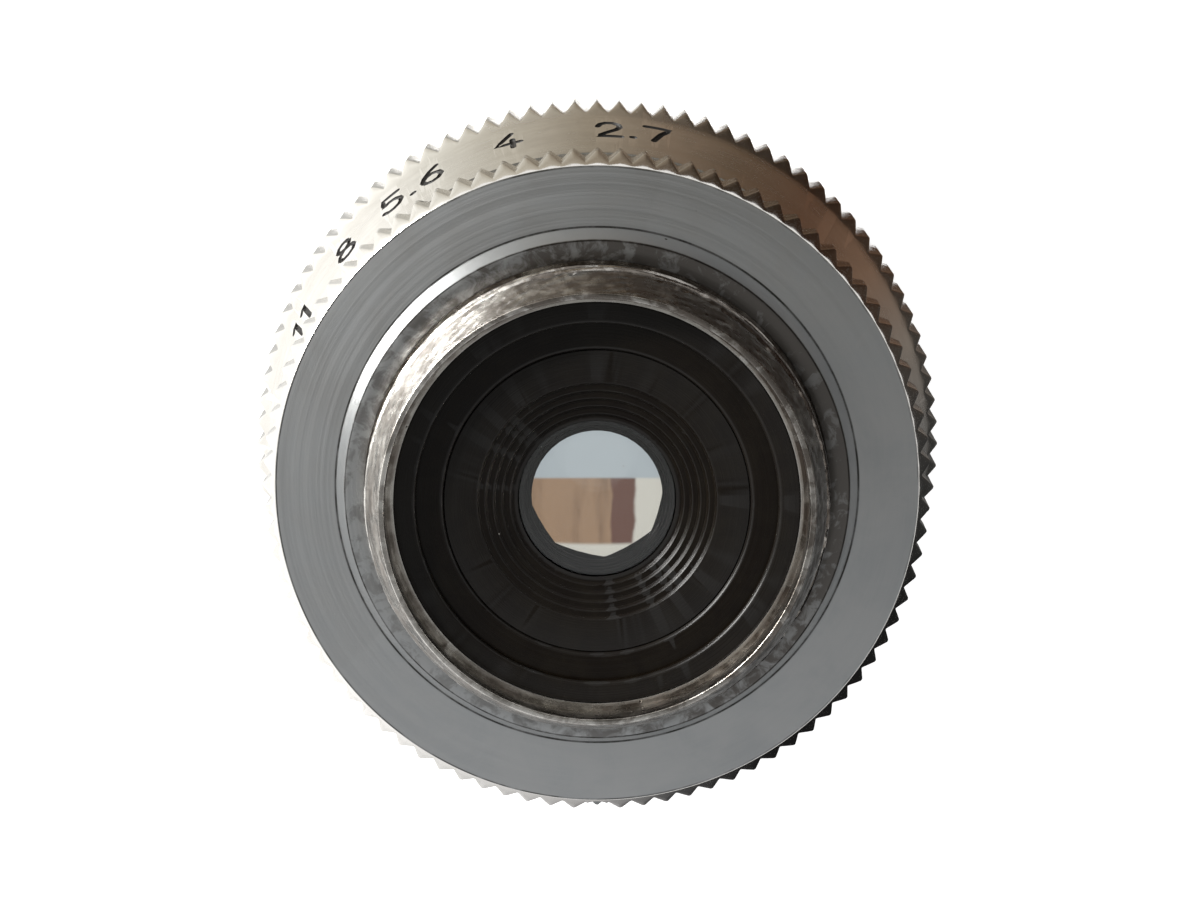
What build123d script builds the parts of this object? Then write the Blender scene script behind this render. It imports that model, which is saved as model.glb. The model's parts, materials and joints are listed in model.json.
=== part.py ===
from build123d import *
from math import cos, degrees, pi, radians, sin, sqrt
import os

os.makedirs("parts", exist_ok=True)

# A fixed-focus cine lens for a small-format camera, in millimetres.
# It stands on its front ring with the camera thread upwards, and Z is the optical axis.
# Heights called "above" or "below" are counted from the rear flange face, up towards the camera.

# Clearances
running_clearance = 0.04        # radial, between a turning ring and what it turns on
face_clearance = 0.05           # along the axis, between a turning ring and its neighbours
screwed_clearance = 0.02        # radial, between pieces that are screwed together
pin_clearance = 0.03            # radial, round the iris pivots
slot_clearance = 0.06           # each side of a driving pin in its slot
neck_clearance = 0.11           # radial, between the aperture ring's skirt and the fixed neck
cut_margin = 1.0                # how far a cutting solid reaches past the wall that it cuts

# Overall layout
flange_height = 15.0            # rear flange face above the front ring's face
ring_split_below = 6.0          # joint between the fixed neck and the aperture ring
front_ring_thickness = 1.85     # front ring, from its face to the aperture ring

# Main tube. Its camera mount is a 5/8 inch thread, 32 turns to the inch, modelled at its crest,
# and every other radius of the lens follows from that thread.
mount_thread_radius = 15.875 / 2
mount_thread_foot = 0.2         # the full thread starts this far above the seat
mount_thread_length = 1.8       # full thread
mount_stub_above = 4.7          # end of the threaded stub
mount_relief_depth = 0.4        # run-out groove at the thread's foot, inside the seat
mount_register_radius = mount_thread_radius + 0.25     # plain part that the flange barrel sits on
mount_bore_clearance = 0.08     # radial, between the tube and both bores of the flange barrel
mount_lead_in_radius = mount_thread_radius - 0.5875    # small end of the worn lead-in cone
mount_mouth_radius = mount_lead_in_radius - 0.2        # bore at the stub's end
cell_bore_radius = mount_mouth_radius - 0.25
iris_bore_radius = cell_bore_radius - 0.55
journal_radius = mount_thread_radius + 1.0625          # the aperture ring turns on this
hood_bore_radius = journal_radius - 0.8
hood_step_below = 5.4           # where the tube widens for the front hood
tube_front_gap = 0.25           # the tube's front end behind the front ring's face
optics_scale = iris_bore_radius / 6.35                 # the iris and lenses grow with their bore

# Radii of the turning skirt and of the fixed neck round it
skirt_wall = 1.0
neck_wall = 0.95
ring_bore_radius = journal_radius + running_clearance
skirt_radius = ring_bore_radius + skirt_wall
neck_bore_radius = skirt_radius + neck_clearance
neck_radius = neck_bore_radius + neck_wall
neck_bevel = 0.12

# Flange barrel: seat, flange, rear knurl and the neck in front of it
seat_above = 0.9
seat_foot_radius = journal_radius + 0.06
seat_radius = seat_foot_radius - 0.34
flange_radius = neck_radius + 0.08
flange_wall = 1.2               # wall behind the flange face, down to the tube's shoulder
seat_lip_thickness = 0.5        # the seat's inner lip, which covers the end of the tube's register
rear_knurl_radius = neck_radius + 0.55
rear_knurl_length = 2.3
rear_knurl_bevel = 0.6          # axial length of the bevel on the teeth's rear ends
set_screw_radius = 0.5
screw_slot_width = 0.2          # screwdriver slots of both small screws
screw_slot_depth = 0.3

# Straight triangular knurling, cut with the same tool on both rings
knurl_pitch = 0.83
knurl_depth = 0.36
knurl_crest = 0.1
knurl_front_bevel = 0.35

# Aperture ring: skirt inside the neck, conical dial, front knurl
dial_small_radius = neck_radius + 0.05
dial_large_radius = dial_small_radius + 1.09
dial_length = 3.1
front_knurl_radius = dial_large_radius + 0.44
front_knurl_bevel = 0.5         # axial length of the bevel next to the dial
setting_opened = 6.0            # degrees that the ring turns to its widest stop, from rest
setting_closed = -66.0          # degrees that it turns to its smallest stop, from rest

# Front ring and hood
front_ring_radius = journal_radius + 2.6
front_ring_bevel = 0.4
front_lip_radius = hood_bore_radius - 0.3
front_lip_thickness = 0.2
hood_wide_radius = hood_bore_radius - 0.5
hood_narrow_radius = 4.3 * optics_scale
hood_rib_count = 12
hood_rib_slant = 0.35           # share of each rib's step that its inner wall leans
hood_wall = 0.45
hood_collar_length = 2.6        # the hood's full-diameter collar, screwed in the tube

# Iris: flat blades, each tilted so that it lies over one neighbour and under the other
blade_count = 8
blade_thickness = 0.04
blade_slope = 0.15              # fall per millimetre from the pivot towards the driving pin
blade_ratio = 0.265             # blade angle for each degree of the aperture ring
blade_pivot_circle = 5.3 * optics_scale
blade_outer_radius = 5.6 * optics_scale
blade_edge_radius = 6.0 * optics_scale    # the long arc that bounds the opening
blade_edge_distance = 1.97 * optics_scale    # from the axis to the middle of that arc, at rest
blade_edge_angle = -52.0        # direction of that middle, from the blade's pivot
blade_drive_angle = -104.0      # direction of the driving pin, from the blade's pivot
blade_drive_circle = 5.0 * optics_scale
blade_ear_radius = 0.55 * optics_scale
blade_pin_radius = 0.25
first_blade_angle = -7.5
iris_plate_above = 1.25         # front face of the base plate
iris_plate_thickness = 0.4
iris_stop_radius = 2.12 * optics_scale
iris_stop_bevel = 0.3
iris_head_room = 0.15           # from the base plate down to the blades at their pivots
iris_floor_room = 0.06          # from the blades at their driving pins down to the drive ring
drive_disc_thickness = 0.4
drive_disc_bore = 3.0 * optics_scale
drive_skirt_wall = 0.55
drive_skirt_below = 3.0         # front end of the drive ring's skirt
drive_screw_below = 2.2
drive_screw_angle = 120.0
drive_screw_radius = 0.6
drive_dog_radius = 0.4
drive_slot_half_width = 0.5

# Rear cell, its plano-convex lens and the ribbed retaining ring
rear_cell_above = 3.35
rear_cell_land_radius = cell_bore_radius - 0.65    # inner edge of the cell's rear land
rear_cell_bevel = 0.1
rear_cell_well_above = 3.0
rear_retainer_radius = 5.2 * optics_scale
rear_retainer_above = 2.88
rear_rib_count = 5
rear_rib_top_radius = 4.1 * optics_scale
rear_rib_width = 0.28 * optics_scale
rear_rib_drop = 0.11
rear_rib_slant = 0.1            # how far each rib's wall leans inwards
rear_lens_radius = 3.3 * optics_scale
rear_lens_edge = 0.3
rear_lens_curvature = 9.0 * optics_scale
rear_lens_lip = 0.1
rear_lens_lip_radius = 2.6 * optics_scale

# Front cell with the biconcave and the front plano-convex lens
front_cell_above = -0.95        # rear end of the front cell
front_cell_radius = 5.6 * optics_scale
front_cell_lip = 0.2
front_cell_lip_radius = 2.5 * optics_scale
middle_lens_radius = 2.98 * optics_scale
middle_lens_edge = 1.2
middle_lens_rim = 0.3           # flat rim round each hollow
middle_lens_rear_curvature = 8.0 * optics_scale
middle_lens_front_curvature = 9.0 * optics_scale
spacer_length = 0.5
spacer_wall = 0.45
front_lens_radius = 3.58 * optics_scale
front_lens_edge = 0.5
front_lens_curvature = 7.0 * optics_scale
front_retainer_radius = 4.1 * optics_scale
front_retainer_lip_radius = 3.1 * optics_scale
front_retainer_length = 1.6
front_retainer_rim = 0.3        # flat front face outside the flared mouth
front_retainer_lip = 0.15
lens_clearance = 0.02           # radial, between a lens and its cell

# Friction spring, which lies in a groove of the tube with its middle near the ring's bore
spring_below = 4.2
spring_play = 0.01              # radial, at its ends and its middle
spring_width = 1.0
spring_thickness = 0.14
spring_groove_depth = 0.7
spring_half_angle = 34.0
spring_middle_angle = -60.0

# Heights above the front ring's face that several pieces share
seat_z = flange_height + seat_above
lip_z = seat_z - seat_lip_thickness
shoulder_z = flange_height - flange_wall
ring_top_z = flange_height - ring_split_below - face_clearance
ring_bottom_z = front_ring_thickness + face_clearance
iris_plate_z = flange_height + iris_plate_above
drive_ring_radius = iris_bore_radius - face_clearance


def turned(*profile, mode=Mode.ADD):
    """Turn a closed profile of (radius, height) points about the optical axis."""
    with BuildSketch(Plane.XZ) as section:
        with BuildLine():
            Polyline(*profile, close=True)
        make_face()
    revolve(section.sketch, axis=Axis.Z, mode=mode)


def sag(radius, curvature):
    """Depth of a spherical cap of this rim radius and radius of curvature."""
    return curvature - sqrt(curvature**2 - radius**2)


def polar(radius, angle):
    return Vector(radius * cos(radians(angle)), radius * sin(radians(angle)))


def radial_plane(angle, height, radius=0.0):
    """A plane that faces outwards from the axis, for radial holes and screws."""
    outwards = polar(1, angle)
    return Plane(origin=outwards * radius + Vector(0, 0, height), z_dir=outwards)


def toothed_disc(tip_radius, low_z, high_z):
    """A disc with straight triangular teeth, as many as the pitch allows."""
    teeth = round(2 * pi * tip_radius / knurl_pitch)
    crest_half = degrees(knurl_crest / 2 / tip_radius)
    outline = []
    for tooth in range(teeth):
        middle = tooth * 360 / teeth
        outline.append(polar(tip_radius, middle - crest_half))
        outline.append(polar(tip_radius, middle + crest_half))
        outline.append(polar(tip_radius - knurl_depth, middle + 180 / teeth))
    with BuildSketch(Plane.XY.offset(low_z)) as teeth_outline:
        with BuildLine():
            Polyline(*outline, close=True)
        make_face()
    extrude(teeth_outline.sketch, amount=high_z - low_z)


def finish(piece, name):
    piece.label = name
    export_step(piece, f"parts/{name}.step")


# Flange barrel, with the seat that meets the camera, the flange, the rear knurl and the neck
knurl_end_z = flange_height - rear_knurl_length
knurl_root_radius = rear_knurl_radius - knurl_depth
with BuildPart() as flange_barrel:
    toothed_disc(rear_knurl_radius, knurl_end_z, flange_height)
    turned(
        (0, knurl_end_z),
        (knurl_root_radius, knurl_end_z),
        (rear_knurl_radius, knurl_end_z + knurl_front_bevel),
        (rear_knurl_radius, flange_height - rear_knurl_bevel),
        (flange_radius, flange_height),
        (0, flange_height),
        mode=Mode.INTERSECT,
    )
    turned((0, flange_height - flange_wall), (seat_foot_radius, flange_height - flange_wall),
           (seat_foot_radius, flange_height), (seat_radius, seat_z), (0, seat_z))
    turned((0, flange_height - ring_split_below), (neck_radius, flange_height - ring_split_below),
           (neck_radius, knurl_end_z), (0, knurl_end_z))
    turned((0, flange_height - ring_split_below), (neck_bore_radius, flange_height - ring_split_below),
           (neck_bore_radius, shoulder_z), (0, shoulder_z), mode=Mode.SUBTRACT)
    with BuildSketch(Plane.XY.offset(shoulder_z)):
        Circle(mount_thread_radius + mount_bore_clearance)
    extrude(amount=seat_z - shoulder_z, mode=Mode.SUBTRACT)
    with BuildSketch(Plane.XY.offset(shoulder_z)):
        Circle(mount_register_radius + mount_bore_clearance)
    extrude(amount=lip_z - shoulder_z, mode=Mode.SUBTRACT)
    neck_rims = flange_barrel.edges().filter_by(GeomType.CIRCLE).group_by(Axis.Z)[0]
    chamfer(neck_rims, neck_bevel)
    with BuildSketch(radial_plane(-90, flange_height - flange_wall / 2, mount_register_radius)):
        Circle(set_screw_radius + screwed_clearance)
    extrude(amount=rear_knurl_radius, mode=Mode.SUBTRACT)
finish(flange_barrel.part, "flange_barrel")

# Set screw that locks the flange barrel on the tube's register, slotted, below the knurl's tips
with BuildPart() as flange_set_screw:
    with BuildSketch(radial_plane(-90, flange_height - flange_wall / 2, mount_register_radius)):
        Circle(set_screw_radius)
    extrude(amount=flange_radius - mount_register_radius - knurl_depth)
    with BuildSketch(Plane(flange_set_screw.faces().sort_by(Axis.Y)[0])):
        Rectangle(2 * set_screw_radius, screw_slot_width)
    extrude(amount=-screw_slot_depth, mode=Mode.SUBTRACT)
finish(flange_set_screw.part, "flange_set_screw")

# Main tube: threaded stub, register, shoulder, journal for the aperture ring, and the stepped bore
stub_end_z = flange_height + mount_stub_above
register_end_z = lip_z - face_clearance
thread_foot_z = seat_z + mount_thread_foot
lead_in_z = thread_foot_z + mount_thread_length
relief_radius = mount_thread_radius - mount_relief_depth
tube_front_z = tube_front_gap
hood_step_z = flange_height - hood_step_below
cell_seat_z = flange_height + rear_cell_above
drive_screw_z = flange_height - drive_screw_below
slot_inner_radius = iris_bore_radius - cut_margin
slot_outer_radius = journal_radius + cut_margin
spring_z = flange_height - spring_below
with BuildPart() as main_tube:
    turned(
        (hood_bore_radius, tube_front_z),
        (journal_radius, tube_front_z),
        (journal_radius, shoulder_z),
        (mount_register_radius, shoulder_z),
        (mount_register_radius, register_end_z),
        (relief_radius, register_end_z),
        (relief_radius, thread_foot_z),
        (mount_thread_radius, thread_foot_z),
        (mount_thread_radius, lead_in_z),
        (mount_lead_in_radius, stub_end_z),
        (mount_mouth_radius, stub_end_z),
        (mount_mouth_radius, cell_seat_z),
        (cell_bore_radius, cell_seat_z),
        (cell_bore_radius, iris_plate_z),
        (iris_bore_radius, iris_plate_z),
        (iris_bore_radius, hood_step_z),
        (hood_bore_radius, hood_step_z),
    )
    # Slot round the tube in which the drive screw travels, with round ends
    with BuildSketch(Plane.XY.offset(drive_screw_z - drive_slot_half_width)):
        with BuildLine():
            travel = setting_closed - setting_opened
            start = drive_screw_angle + setting_opened
            inner = CenterArc((0, 0), slot_inner_radius, start, travel)
            outer = CenterArc((0, 0), slot_outer_radius, start, travel)
            Line(inner @ 0, outer @ 0)
            Line(inner @ 1, outer @ 1)
        make_face()
    extrude(amount=2 * drive_slot_half_width, mode=Mode.SUBTRACT)
    for slot_end in (setting_opened, setting_closed):
        with BuildSketch(radial_plane(drive_screw_angle + slot_end, drive_screw_z, slot_inner_radius)):
            Circle(drive_slot_half_width)
        extrude(amount=slot_outer_radius - slot_inner_radius, mode=Mode.SUBTRACT)
    # Groove for the friction spring
    with BuildSketch(Plane.XY.offset(spring_z - spring_width / 2 - face_clearance)):
        Circle(slot_outer_radius)
        Circle(journal_radius - spring_groove_depth, mode=Mode.SUBTRACT)
    extrude(amount=spring_width + 2 * face_clearance, mode=Mode.SUBTRACT)
finish(main_tube.part, "main_tube")

# Aperture ring: skirt, conical dial for the stop numbers, front knurl
dial_top_z = ring_top_z
dial_foot_z = dial_top_z - dial_length
front_knurl_root = front_knurl_radius - knurl_depth
with BuildPart() as aperture_ring:
    toothed_disc(front_knurl_radius, ring_bottom_z, dial_foot_z)
    turned(
        (0, ring_bottom_z),
        (front_knurl_root, ring_bottom_z),
        (front_knurl_radius, ring_bottom_z + knurl_front_bevel),
        (front_knurl_radius, dial_foot_z - front_knurl_bevel),
        (dial_large_radius, dial_foot_z),
        (0, dial_foot_z),
        mode=Mode.INTERSECT,
    )
    turned((0, dial_foot_z), (dial_large_radius, dial_foot_z),
           (dial_small_radius, dial_top_z), (0, dial_top_z))
    turned((0, dial_top_z), (skirt_radius, dial_top_z), (skirt_radius, shoulder_z - face_clearance),
           (0, shoulder_z - face_clearance))
    with BuildSketch(Plane.XY.offset(ring_bottom_z)):
        Circle(ring_bore_radius)
    extrude(amount=flange_height, mode=Mode.SUBTRACT)
    with BuildSketch(radial_plane(drive_screw_angle, drive_screw_z, journal_radius)):
        Circle(drive_screw_radius + screwed_clearance)
    extrude(amount=neck_radius - journal_radius, mode=Mode.SUBTRACT)
finish(aperture_ring.part, "aperture_ring")

# Drive screw: threaded in the ring's skirt, its dog reaches through the tube into the drive ring
drive_skirt_radius = drive_ring_radius - drive_skirt_wall
screw_inner_radius = ring_bore_radius + face_clearance
with BuildPart() as drive_screw:
    with BuildSketch(radial_plane(drive_screw_angle, drive_screw_z, drive_skirt_radius)):
        Circle(drive_dog_radius)
    extrude(amount=screw_inner_radius - drive_skirt_radius)
    with BuildSketch(radial_plane(drive_screw_angle, drive_screw_z, screw_inner_radius)):
        Circle(drive_screw_radius)
    extrude(amount=skirt_radius - screw_inner_radius - face_clearance)
    with BuildSketch(radial_plane(drive_screw_angle, drive_screw_z, skirt_radius - face_clearance)):
        Rectangle(2 * drive_screw_radius, screw_slot_width)
    extrude(amount=-screw_slot_depth, mode=Mode.SUBTRACT)
finish(drive_screw.part, "drive_screw")

# Friction spring: a bowed strip whose middle bears on the ring's bore and whose ends lie in the groove
spring_end_radius = journal_radius - spring_groove_depth + spring_thickness / 2 + spring_play
spring_top_radius = ring_bore_radius - spring_thickness / 2 - spring_play
with BuildPart() as friction_spring:
    with BuildSketch(Plane.XY.offset(spring_z - spring_width / 2)):
        with BuildLine() as bow:
            ThreePointArc(
                polar(spring_end_radius, spring_middle_angle - spring_half_angle),
                polar(spring_top_radius, spring_middle_angle),
                polar(spring_end_radius, spring_middle_angle + spring_half_angle),
            )
        trace(line_width=spring_thickness)
    extrude(amount=spring_width)
finish(friction_spring.part, "friction_spring")

# Front ring, screwed on the tube; it keeps the aperture ring on and the lens stands on its face
with BuildPart() as front_ring:
    turned(
        (front_lip_radius, 0),
        (front_ring_radius, 0),
        (front_ring_radius, front_ring_thickness),
        (journal_radius + screwed_clearance, front_ring_thickness),
        (journal_radius + screwed_clearance, front_lip_thickness),
        (front_lip_radius, front_lip_thickness),
    )
    outer_rims = front_ring.edges().filter_by(GeomType.CIRCLE).sort_by(SortBy.RADIUS)[-2:]
    chamfer(outer_rims, front_ring_bevel)
finish(front_ring.part, "front_ring")

# Front hood: a funnel turned in ribs, which keeps stray light from the front lens
hood_front_z = front_lip_thickness + face_clearance
hood_rear_z = hood_step_z - face_clearance
rib_length = (hood_rear_z - hood_front_z) / hood_rib_count
rib_step = (hood_wide_radius - hood_narrow_radius) / hood_rib_count
stairs = []
for rib in range(hood_rib_count):
    rib_radius = hood_narrow_radius + rib * rib_step
    rib_z = hood_rear_z - rib * rib_length
    stairs.append((rib_radius, rib_z))
    stairs.append((rib_radius + hood_rib_slant * rib_step, rib_z - rib_length))
hood_radius = hood_bore_radius - screwed_clearance
hood_collar_z = hood_front_z + hood_collar_length
hood_cone_radius = hood_wide_radius + hood_wall - hood_collar_length * rib_step / rib_length
with BuildPart() as front_hood:
    turned(
        *stairs,
        (hood_wide_radius, hood_front_z),
        (hood_radius, hood_front_z),
        (hood_radius, hood_collar_z),
        (hood_cone_radius, hood_collar_z),
        (hood_narrow_radius + hood_wall, hood_rear_z),
    )
finish(front_hood.part, "front_hood")

# Front cell, screwed in the tube; its flange also carries the drive ring's skirt
front_cell_z = flange_height + front_cell_above
cell_flange_z = flange_height - drive_skirt_below - face_clearance
middle_seat_z = front_cell_z - front_cell_lip
spacer_z = middle_seat_z - middle_lens_edge
front_seat_z = spacer_z - spacer_length
front_lens_rim_z = front_seat_z - front_lens_edge
front_retainer_bore = front_retainer_radius + screwed_clearance
with BuildPart() as front_cell:
    turned(
        (front_cell_lip_radius, front_cell_z),
        (front_cell_radius, front_cell_z),
        (front_cell_radius, cell_flange_z),
        (iris_bore_radius - screwed_clearance, cell_flange_z),
        (iris_bore_radius - screwed_clearance, hood_step_z),
        (front_retainer_bore, hood_step_z),
        (front_retainer_bore, front_lens_rim_z),
        (front_lens_radius + lens_clearance, front_lens_rim_z),
        (front_lens_radius + lens_clearance, front_seat_z),
        (middle_lens_radius + lens_clearance, front_seat_z),
        (middle_lens_radius + lens_clearance, middle_seat_z),
        (front_cell_lip_radius, middle_seat_z),
    )
finish(front_cell.part, "front_cell")

# Middle lens, hollow on both sides
hollow_radius = middle_lens_radius - middle_lens_rim
hollow_middle = hollow_radius / 2
rear_hollow_z = middle_seat_z - sag(hollow_radius, middle_lens_rear_curvature)
front_hollow_z = spacer_z + sag(hollow_radius, middle_lens_front_curvature)
with BuildPart() as middle_lens:
    with BuildSketch(Plane.XZ):
        with BuildLine():
            Line((0, rear_hollow_z), (0, front_hollow_z))
            ThreePointArc(
                (0, front_hollow_z),
                (hollow_middle, front_hollow_z - sag(hollow_middle, middle_lens_front_curvature)),
                (hollow_radius, spacer_z),
            )
            Polyline((hollow_radius, spacer_z), (middle_lens_radius, spacer_z),
                     (middle_lens_radius, middle_seat_z), (hollow_radius, middle_seat_z))
            ThreePointArc(
                (hollow_radius, middle_seat_z),
                (hollow_middle, rear_hollow_z + sag(hollow_middle, middle_lens_rear_curvature)),
                (0, rear_hollow_z),
            )
        make_face()
    revolve(axis=Axis.Z)
finish(middle_lens.part, "middle_lens")

# Spacer between the middle and front lenses
with BuildPart() as lens_spacer:
    with BuildSketch(Plane.XY.offset(front_seat_z)):
        Circle(middle_lens_radius)
        Circle(middle_lens_radius - spacer_wall, mode=Mode.SUBTRACT)
    extrude(amount=spacer_length)
finish(lens_spacer.part, "lens_spacer")

# Front lens, flat behind and bulging to the front
front_lens_vertex_z = front_lens_rim_z - sag(front_lens_radius, front_lens_curvature)
half_radius = front_lens_radius / 2
with BuildPart() as front_lens:
    with BuildSketch(Plane.XZ):
        with BuildLine():
            ThreePointArc(
                (0, front_lens_vertex_z),
                (half_radius, front_lens_vertex_z + sag(half_radius, front_lens_curvature)),
                (front_lens_radius, front_lens_rim_z),
            )
            Polyline((front_lens_radius, front_lens_rim_z), (front_lens_radius, front_seat_z),
                     (0, front_seat_z), (0, front_lens_vertex_z))
        make_face()
    revolve(axis=Axis.Z)
finish(front_lens.part, "front_lens")

# Front retaining ring, with a bevelled seat on the front lens and a flared mouth
front_lip_sag = sag(front_retainer_lip_radius, front_lens_curvature)
front_lip_z = front_lens_vertex_z + front_lip_sag - lens_clearance
with BuildPart() as front_retainer:
    turned(
        (front_retainer_lip_radius, front_lip_z),
        (front_lens_radius, front_lens_rim_z - lens_clearance),
        (front_retainer_radius, front_lens_rim_z - lens_clearance),
        (front_retainer_radius, front_lens_rim_z - front_retainer_length),
        (front_retainer_radius - front_retainer_rim, front_lens_rim_z - front_retainer_length),
        (front_retainer_lip_radius, front_lip_z - front_retainer_lip),
    )
finish(front_retainer.part, "front_retainer")

# Base plate of the iris: the round stop, and a pivot hole for each blade
with BuildPart() as iris_base_plate:
    with BuildSketch(Plane.XY.offset(iris_plate_z)):
        Circle(cell_bore_radius - screwed_clearance)
        Circle(iris_stop_radius, mode=Mode.SUBTRACT)
        with PolarLocations(blade_pivot_circle, blade_count, start_angle=first_blade_angle):
            Circle(blade_pin_radius + pin_clearance, mode=Mode.SUBTRACT)
    extrude(amount=iris_plate_thickness)
    stop_rim = iris_base_plate.edges().filter_by(GeomType.CIRCLE).group_by(Axis.Z)[-1].sort_by(SortBy.RADIUS)
    chamfer([rim for rim in stop_rim if abs(rim.radius - iris_stop_radius) < 0.01], iris_stop_bevel)
finish(iris_base_plate.part, "iris_base_plate")

# Iris blade, drawn on its own tilted plane with its origin at the pivot, where a pin is riveted on.
# Its opening edge is one long arc, and a second pin near its tip drives it.
pivot = polar(blade_pivot_circle, 0)
drive_point = polar(blade_drive_circle, blade_drive_angle)
edge_centre = polar(blade_edge_distance - blade_edge_radius, blade_edge_angle)
chord = (drive_point - pivot).normalized()
across = Vector(-chord.Y, chord.X)
blade_plane = Plane(
    origin=(pivot.X, pivot.Y, iris_plate_z - iris_head_room),
    x_dir=(chord.X, chord.Y, -blade_slope),
    z_dir=(chord.X * blade_slope, chord.Y * blade_slope, 1),
)


def on_blade(point):
    """A point of the plan view in the blade's own coordinates."""
    offset = point - pivot
    return Vector(offset.dot(chord), offset.dot(across))


blade_reach = (drive_point - pivot).length
blade_low_z = iris_plate_z - iris_head_room - blade_slope * (blade_reach + blade_ear_radius) - blade_thickness
drive_disc_z = blade_low_z - iris_floor_room
sector_reach = 2 * blade_outer_radius    # corners of the sector that the blade fills, well outside it
with BuildPart() as iris_blade:
    with BuildSketch(blade_plane):
        with Locations(on_blade(Vector(0, 0))):
            Circle(blade_outer_radius)
        with Locations(on_blade(edge_centre)):
            Circle(blade_edge_radius, mode=Mode.SUBTRACT)
        with BuildLine():
            Polyline(
                on_blade(Vector(0, 0)),
                on_blade(polar(sector_reach, 0)),
                on_blade(polar(sector_reach, blade_drive_angle / 2)),
                on_blade(polar(sector_reach, blade_drive_angle)),
                close=True,
            )
        make_face(mode=Mode.INTERSECT)
        with Locations(on_blade(pivot), on_blade(drive_point)):
            Circle(blade_ear_radius)
    extrude(amount=-blade_thickness)
    # Pivot pin, up into the base plate
    with BuildSketch(Plane.XY.offset(iris_plate_z - iris_head_room - blade_thickness / 2)):
        with Locations(pivot):
            Circle(blade_pin_radius)
    extrude(amount=iris_head_room + iris_plate_thickness)
    # Driving pin, down into the drive ring's slot
    with BuildSketch(Plane.XY.offset(iris_plate_z - iris_head_room - blade_slope * blade_reach)):
        with Locations(drive_point):
            Circle(blade_pin_radius)
    extrude(amount=-(blade_slope * blade_ear_radius + iris_floor_room + drive_disc_thickness))
for blade_index in range(blade_count):
    blade_angle = first_blade_angle + blade_index * 360 / blade_count
    finish(iris_blade.part.rotate(Axis.Z, blade_angle), f"iris_blade_{blade_index + 1}")


def driven_pin(setting):
    """Where a blade's driving pin lies on the drive ring, for a setting of the aperture ring."""
    arm = (drive_point - pivot).rotate(Axis.Z, blade_ratio * setting)
    return (pivot + arm).rotate(Axis.Z, -setting)


# Drive ring: a slotted disc that swings the blades, on a skirt that the drive screw turns
slot_arc = ThreePointArc(
    driven_pin(setting_opened),
    driven_pin((setting_opened + setting_closed) / 2),
    driven_pin(setting_closed),
)
with BuildPart() as iris_drive_ring:
    with BuildSketch(Plane.XY.offset(drive_disc_z)):
        Circle(drive_ring_radius)
        Circle(drive_disc_bore, mode=Mode.SUBTRACT)
        with PolarLocations(0, blade_count, start_angle=first_blade_angle):
            SlotArc(slot_arc, 2 * (blade_pin_radius + slot_clearance), mode=Mode.SUBTRACT)
    extrude(amount=-drive_disc_thickness)
    with BuildSketch(Plane.XY.offset(flange_height - drive_skirt_below)):
        Circle(drive_ring_radius)
        Circle(drive_skirt_radius, mode=Mode.SUBTRACT)
    extrude(amount=drive_disc_z - drive_disc_thickness / 2 - (flange_height - drive_skirt_below))
    with BuildSketch(radial_plane(drive_screw_angle, drive_screw_z, slot_inner_radius)):
        Circle(drive_dog_radius + pin_clearance)
    extrude(amount=slot_outer_radius - slot_inner_radius, mode=Mode.SUBTRACT)
finish(iris_drive_ring.part, "iris_drive_ring")

# Rear cell, with a land, a well and the seats for the rear lens and its retaining ring
rear_cell_low_z = iris_plate_z + iris_plate_thickness
rear_seat_z = rear_cell_low_z + rear_lens_lip
rear_rim_z = rear_seat_z + rear_lens_edge
rear_well_z = flange_height + rear_cell_well_above
with BuildPart() as rear_cell:
    turned(
        (rear_lens_lip_radius, rear_cell_low_z),
        (cell_bore_radius - screwed_clearance, rear_cell_low_z),
        (cell_bore_radius - screwed_clearance, cell_seat_z),
        (rear_cell_land_radius, cell_seat_z),
        (rear_cell_land_radius - rear_cell_bevel, cell_seat_z - rear_cell_bevel),
        (rear_cell_land_radius - rear_cell_bevel, rear_well_z),
        (rear_retainer_radius + screwed_clearance + rear_cell_bevel, rear_well_z),
        (rear_retainer_radius + screwed_clearance, rear_well_z - rear_cell_bevel),
        (rear_retainer_radius + screwed_clearance, rear_rim_z),
        (rear_lens_radius + lens_clearance, rear_rim_z),
        (rear_lens_radius + lens_clearance, rear_seat_z),
        (rear_lens_lip_radius, rear_seat_z),
    )
finish(rear_cell.part, "rear_cell")

# Rear lens, flat towards the iris and bulging towards the camera
rear_vertex_z = rear_rim_z + sag(rear_lens_radius, rear_lens_curvature)
with BuildPart() as rear_lens:
    with BuildSketch(Plane.XZ):
        with BuildLine():
            ThreePointArc(
                (0, rear_vertex_z),
                (rear_lens_radius / 2, rear_vertex_z - sag(rear_lens_radius / 2, rear_lens_curvature)),
                (rear_lens_radius, rear_rim_z),
            )
            Polyline((rear_lens_radius, rear_rim_z), (rear_lens_radius, rear_seat_z),
                     (0, rear_seat_z), (0, rear_vertex_z))
        make_face()
    revolve(axis=Axis.Z)
finish(rear_lens.part, "rear_lens")

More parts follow.
